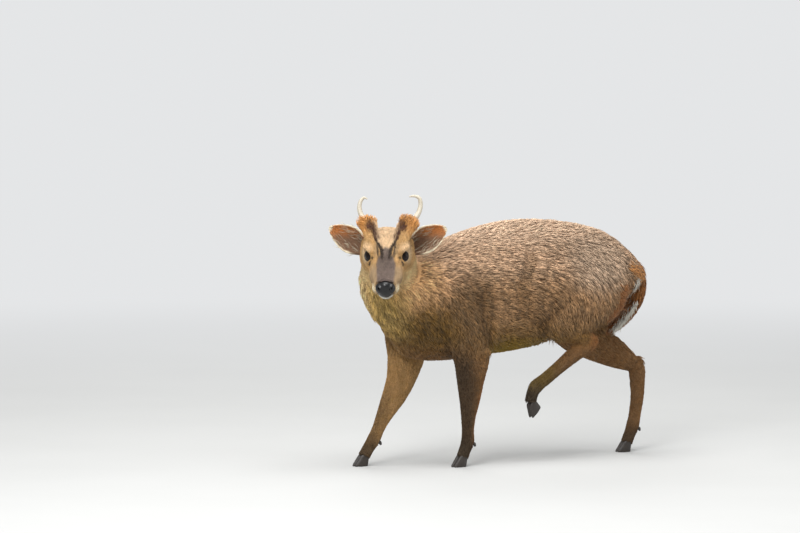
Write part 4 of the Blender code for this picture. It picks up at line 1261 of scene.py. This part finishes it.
def melted_copy(name, node, slot, finish):
    """A copy whose facets are remeshed and smoothed away, swelled by what the smoothing takes."""
    piece = smooth_copy(name, node, slot, finish, 1)
    modify(piece, "REMESH", mode="VOXEL", voxel_size=FINE_VOXEL)
    settle(piece)
    modify(piece, "SMOOTH", factor=0.5, iterations=9)
    modify(piece, "DISPLACE", strength=SWELL, mid_level=0.0)
    settle(piece)
    give_finish(piece, finish)


nose_pad = smooth_copy("nose_pad", "nose", "bare_skin", nose_finish)
print("nose", len(nose_pad.data.polygons), "faces")

# %% [markdown]
# ## Antlers and hooves
# Antlers are bone: ivory with browner patches and fine grooves along the beam. Hooves are dark horn with
# faint growth rings. Both are copies of the solids, remeshed finely and smoothed so that no facet shows.

# %% Antlers
def antler_material():
    material, tree, shader = new_material("antler_finish")
    grain = noise(tree, object_place(tree), 90.0, 5.0, (3.0, 3.0, 0.7))
    plug(tree, blend(tree, grain, (0.54, 0.50, 0.42, 1), (0.40, 0.34, 0.24, 1)), shader, "Base Color")
    plug(tree, 0.36 + grain * 0.25, shader, "Roughness")
    bumped(tree, shader, grain, 0.25, 0.0004)
    return material


antler_finish = antler_material()
for name in ("antler_left", "antler_right"):
    melted_copy(name + "_beam", name, "antler", antler_finish)
print("finish", antler_finish.name)

# %% Hooves
def hoof_material():
    material, tree, shader = new_material("hoof_finish")
    place = object_place(tree)
    rings = node_of(tree, "ShaderNodeTexWave", {"bands_direction": "Z"}, {
        "Vector": place, "Scale": 160.0, "Distortion": 2.0,
    })
    wear = noise(tree, place, 120.0)
    plug(tree, blend(tree, wear, (0.012, 0.009, 0.007, 1), (0.042, 0.032, 0.025, 1)), shader, "Base Color")
    plug(tree, 0.38 + wear * 0.25, shader, "Roughness")
    bumped(tree, shader, rings, 0.25, 0.0004)
    return material


hoof_finish = hoof_material()
hooves = [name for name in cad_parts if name.startswith(("claw", "dewclaw"))]
for name in hooves:
    melted_copy(name + "_horn", name, "hoof", hoof_finish)
print("hooves", len(hooves))

# %% [markdown]
# ## Ears
# Each ear is a thin cup. The solid has its cup and thickness, so a finer copy is coloured: brown outside,
# grey-brown and orange inside, with a pale rim. Short tufts cover both faces, and a few long pale hairs
# stand inside.

# %% Shape and colours of the ears
EAR_INSIDE_LOW = linear(140, 108, 86)
EAR_INSIDE_HIGH = linear(206, 130, 72)
EAR_RIM = linear(244, 228, 198)
EAR_LENGTH = 0.088
EAR_HALF_WIDTH = 0.0256
EAR_SHARES = (0.0, 0.14, 0.30, 0.48, 0.64, 0.80, 0.92, 1.0)
EAR_WIDTHS = (0.50, 0.66, 0.89, 1.00, 0.91, 0.69, 0.42, 0.14)
EAR_ROOT = (-0.0436, 0.0395, -0.0264)
EAR_SPREAD = 0.84
EAR_RISE = 0.475
EAR_BACK = 0.25


def ear_frame(side):
    """Root, axis and opening of an ear, in the world."""
    lateral = Vector((-math.sin(HEAD_TURN), math.cos(HEAD_TURN), 0)) * side
    facing = Vector((math.cos(HEAD_TURN), math.sin(HEAD_TURN), 0))
    axis = (lateral * EAR_SPREAD + Vector((0, 0, EAR_RISE)) - facing * EAR_BACK).normalized()
    opening = (facing + lateral * 0.12 + Vector((0, 0, 0.05))).normalized()
    opening = (opening - opening.dot(axis) * axis).normalized()
    root = HEAD @ Vector((EAR_ROOT[0], EAR_ROOT[1] * side, EAR_ROOT[2]))
    return np.array(root), np.array(BODY.to_3x3() @ axis), np.array(BODY.to_3x3() @ opening)


def ear_colours(points, normals, side):
    """Brown outside, orange above and pale brown below inside, with a pale rim."""
    root, axis, opening = ear_frame(side)
    from_root = points - root
    share = from_root @ axis / EAR_LENGTH
    across = np.abs(from_root @ np.cross(axis, opening))
    inward = smoothly(normals @ opening, -0.1, 0.35)
    colours = np.tile(COAT["ear_back"], (len(points), 1))
    high = smoothly(from_root[:, 2], 0.016, 0.040)[:, None]
    inside = EAR_INSIDE_LOW + high * (EAR_INSIDE_HIGH - EAR_INSIDE_LOW)
    colours += inward[:, None] * (inside - colours)
    edge = across / (EAR_HALF_WIDTH * np.interp(share, EAR_SHARES, EAR_WIDTHS))
    rim = np.maximum(smoothly(edge, 0.89, 0.97) * smoothly(share, 0.15, 0.3), smoothly(share, 0.93, 0.98))
    colours += rim[:, None] * (EAR_RIM - colours)
    return np.clip(colours, 0, 1), inward, share, edge


print("ear", EAR_LENGTH, "m long")

# %% Build the ears
EAR_TUFTS = 8500
EAR_HAIRS = 80
EAR_COAT = 0.0048
EAR_TUFT_WIDTH = 0.0009
HAIR_LIFT = 2.2
ear_finish = coat_material("ear_coat_finish", 0.30, 0.30)
for name, side in (("ear_left", 1), ("ear_right", -1)):
    shell = smooth_copy(name + "_shell", name, "ear_coat", skin_material())
    paint_points(shell.data, ear_colours(places_of(shell.data), normals_of(shell.data), side)[0])
    unwrap(shell)
    ear_roots, ear_out, ear_faces, ear_mixes = scatter(shell.data, lambda p: np.ones(len(p)), EAR_TUFTS)
    colours, inward, share, edge = ear_colours(ear_roots, ear_out, side)
    lie = np.tile(ear_frame(side)[1], (EAR_TUFTS, 1)) + rng.normal(size=ear_roots.shape) * 0.15
    lie -= np.sum(lie * ear_out, axis=1, keepdims=True) * ear_out
    lie /= np.linalg.norm(lie, axis=1, keepdims=True)
    size = EAR_COAT * rng.uniform(0.7, 1.3, EAR_TUFTS) * (1 - 0.35 * np.maximum(inward, edge > 0.9))
    uv = uv_at(shell.data, ear_faces, ear_mixes)
    shade = colours * (1 + 0.18 * rng.normal(size=(len(colours), 1)))
    inner = np.flatnonzero((inward > 0.6) & (share > 0.10) & (share < 0.72) & (edge > 0.30))
    long_hairs = rng.choice(inner, EAR_HAIRS, replace=False)
    size[long_hairs] = rng.uniform(0.010, 0.020, EAR_HAIRS)
    shade[long_hairs] = EAR_RIM * rng.uniform(0.45, 0.85, (EAR_HAIRS, 1))
    raised = np.ones(EAR_TUFTS)
    raised[long_hairs] = HAIR_LIFT
    coat_piece(
        name + "_coat", "ear_coat", ear_finish, ear_roots, ear_out, lie, size,
        np.full(EAR_TUFTS, EAR_TUFT_WIDTH), np.clip(shade, 0, 1), uv, raised,
    )
print("tufts to an ear", EAR_TUFTS)
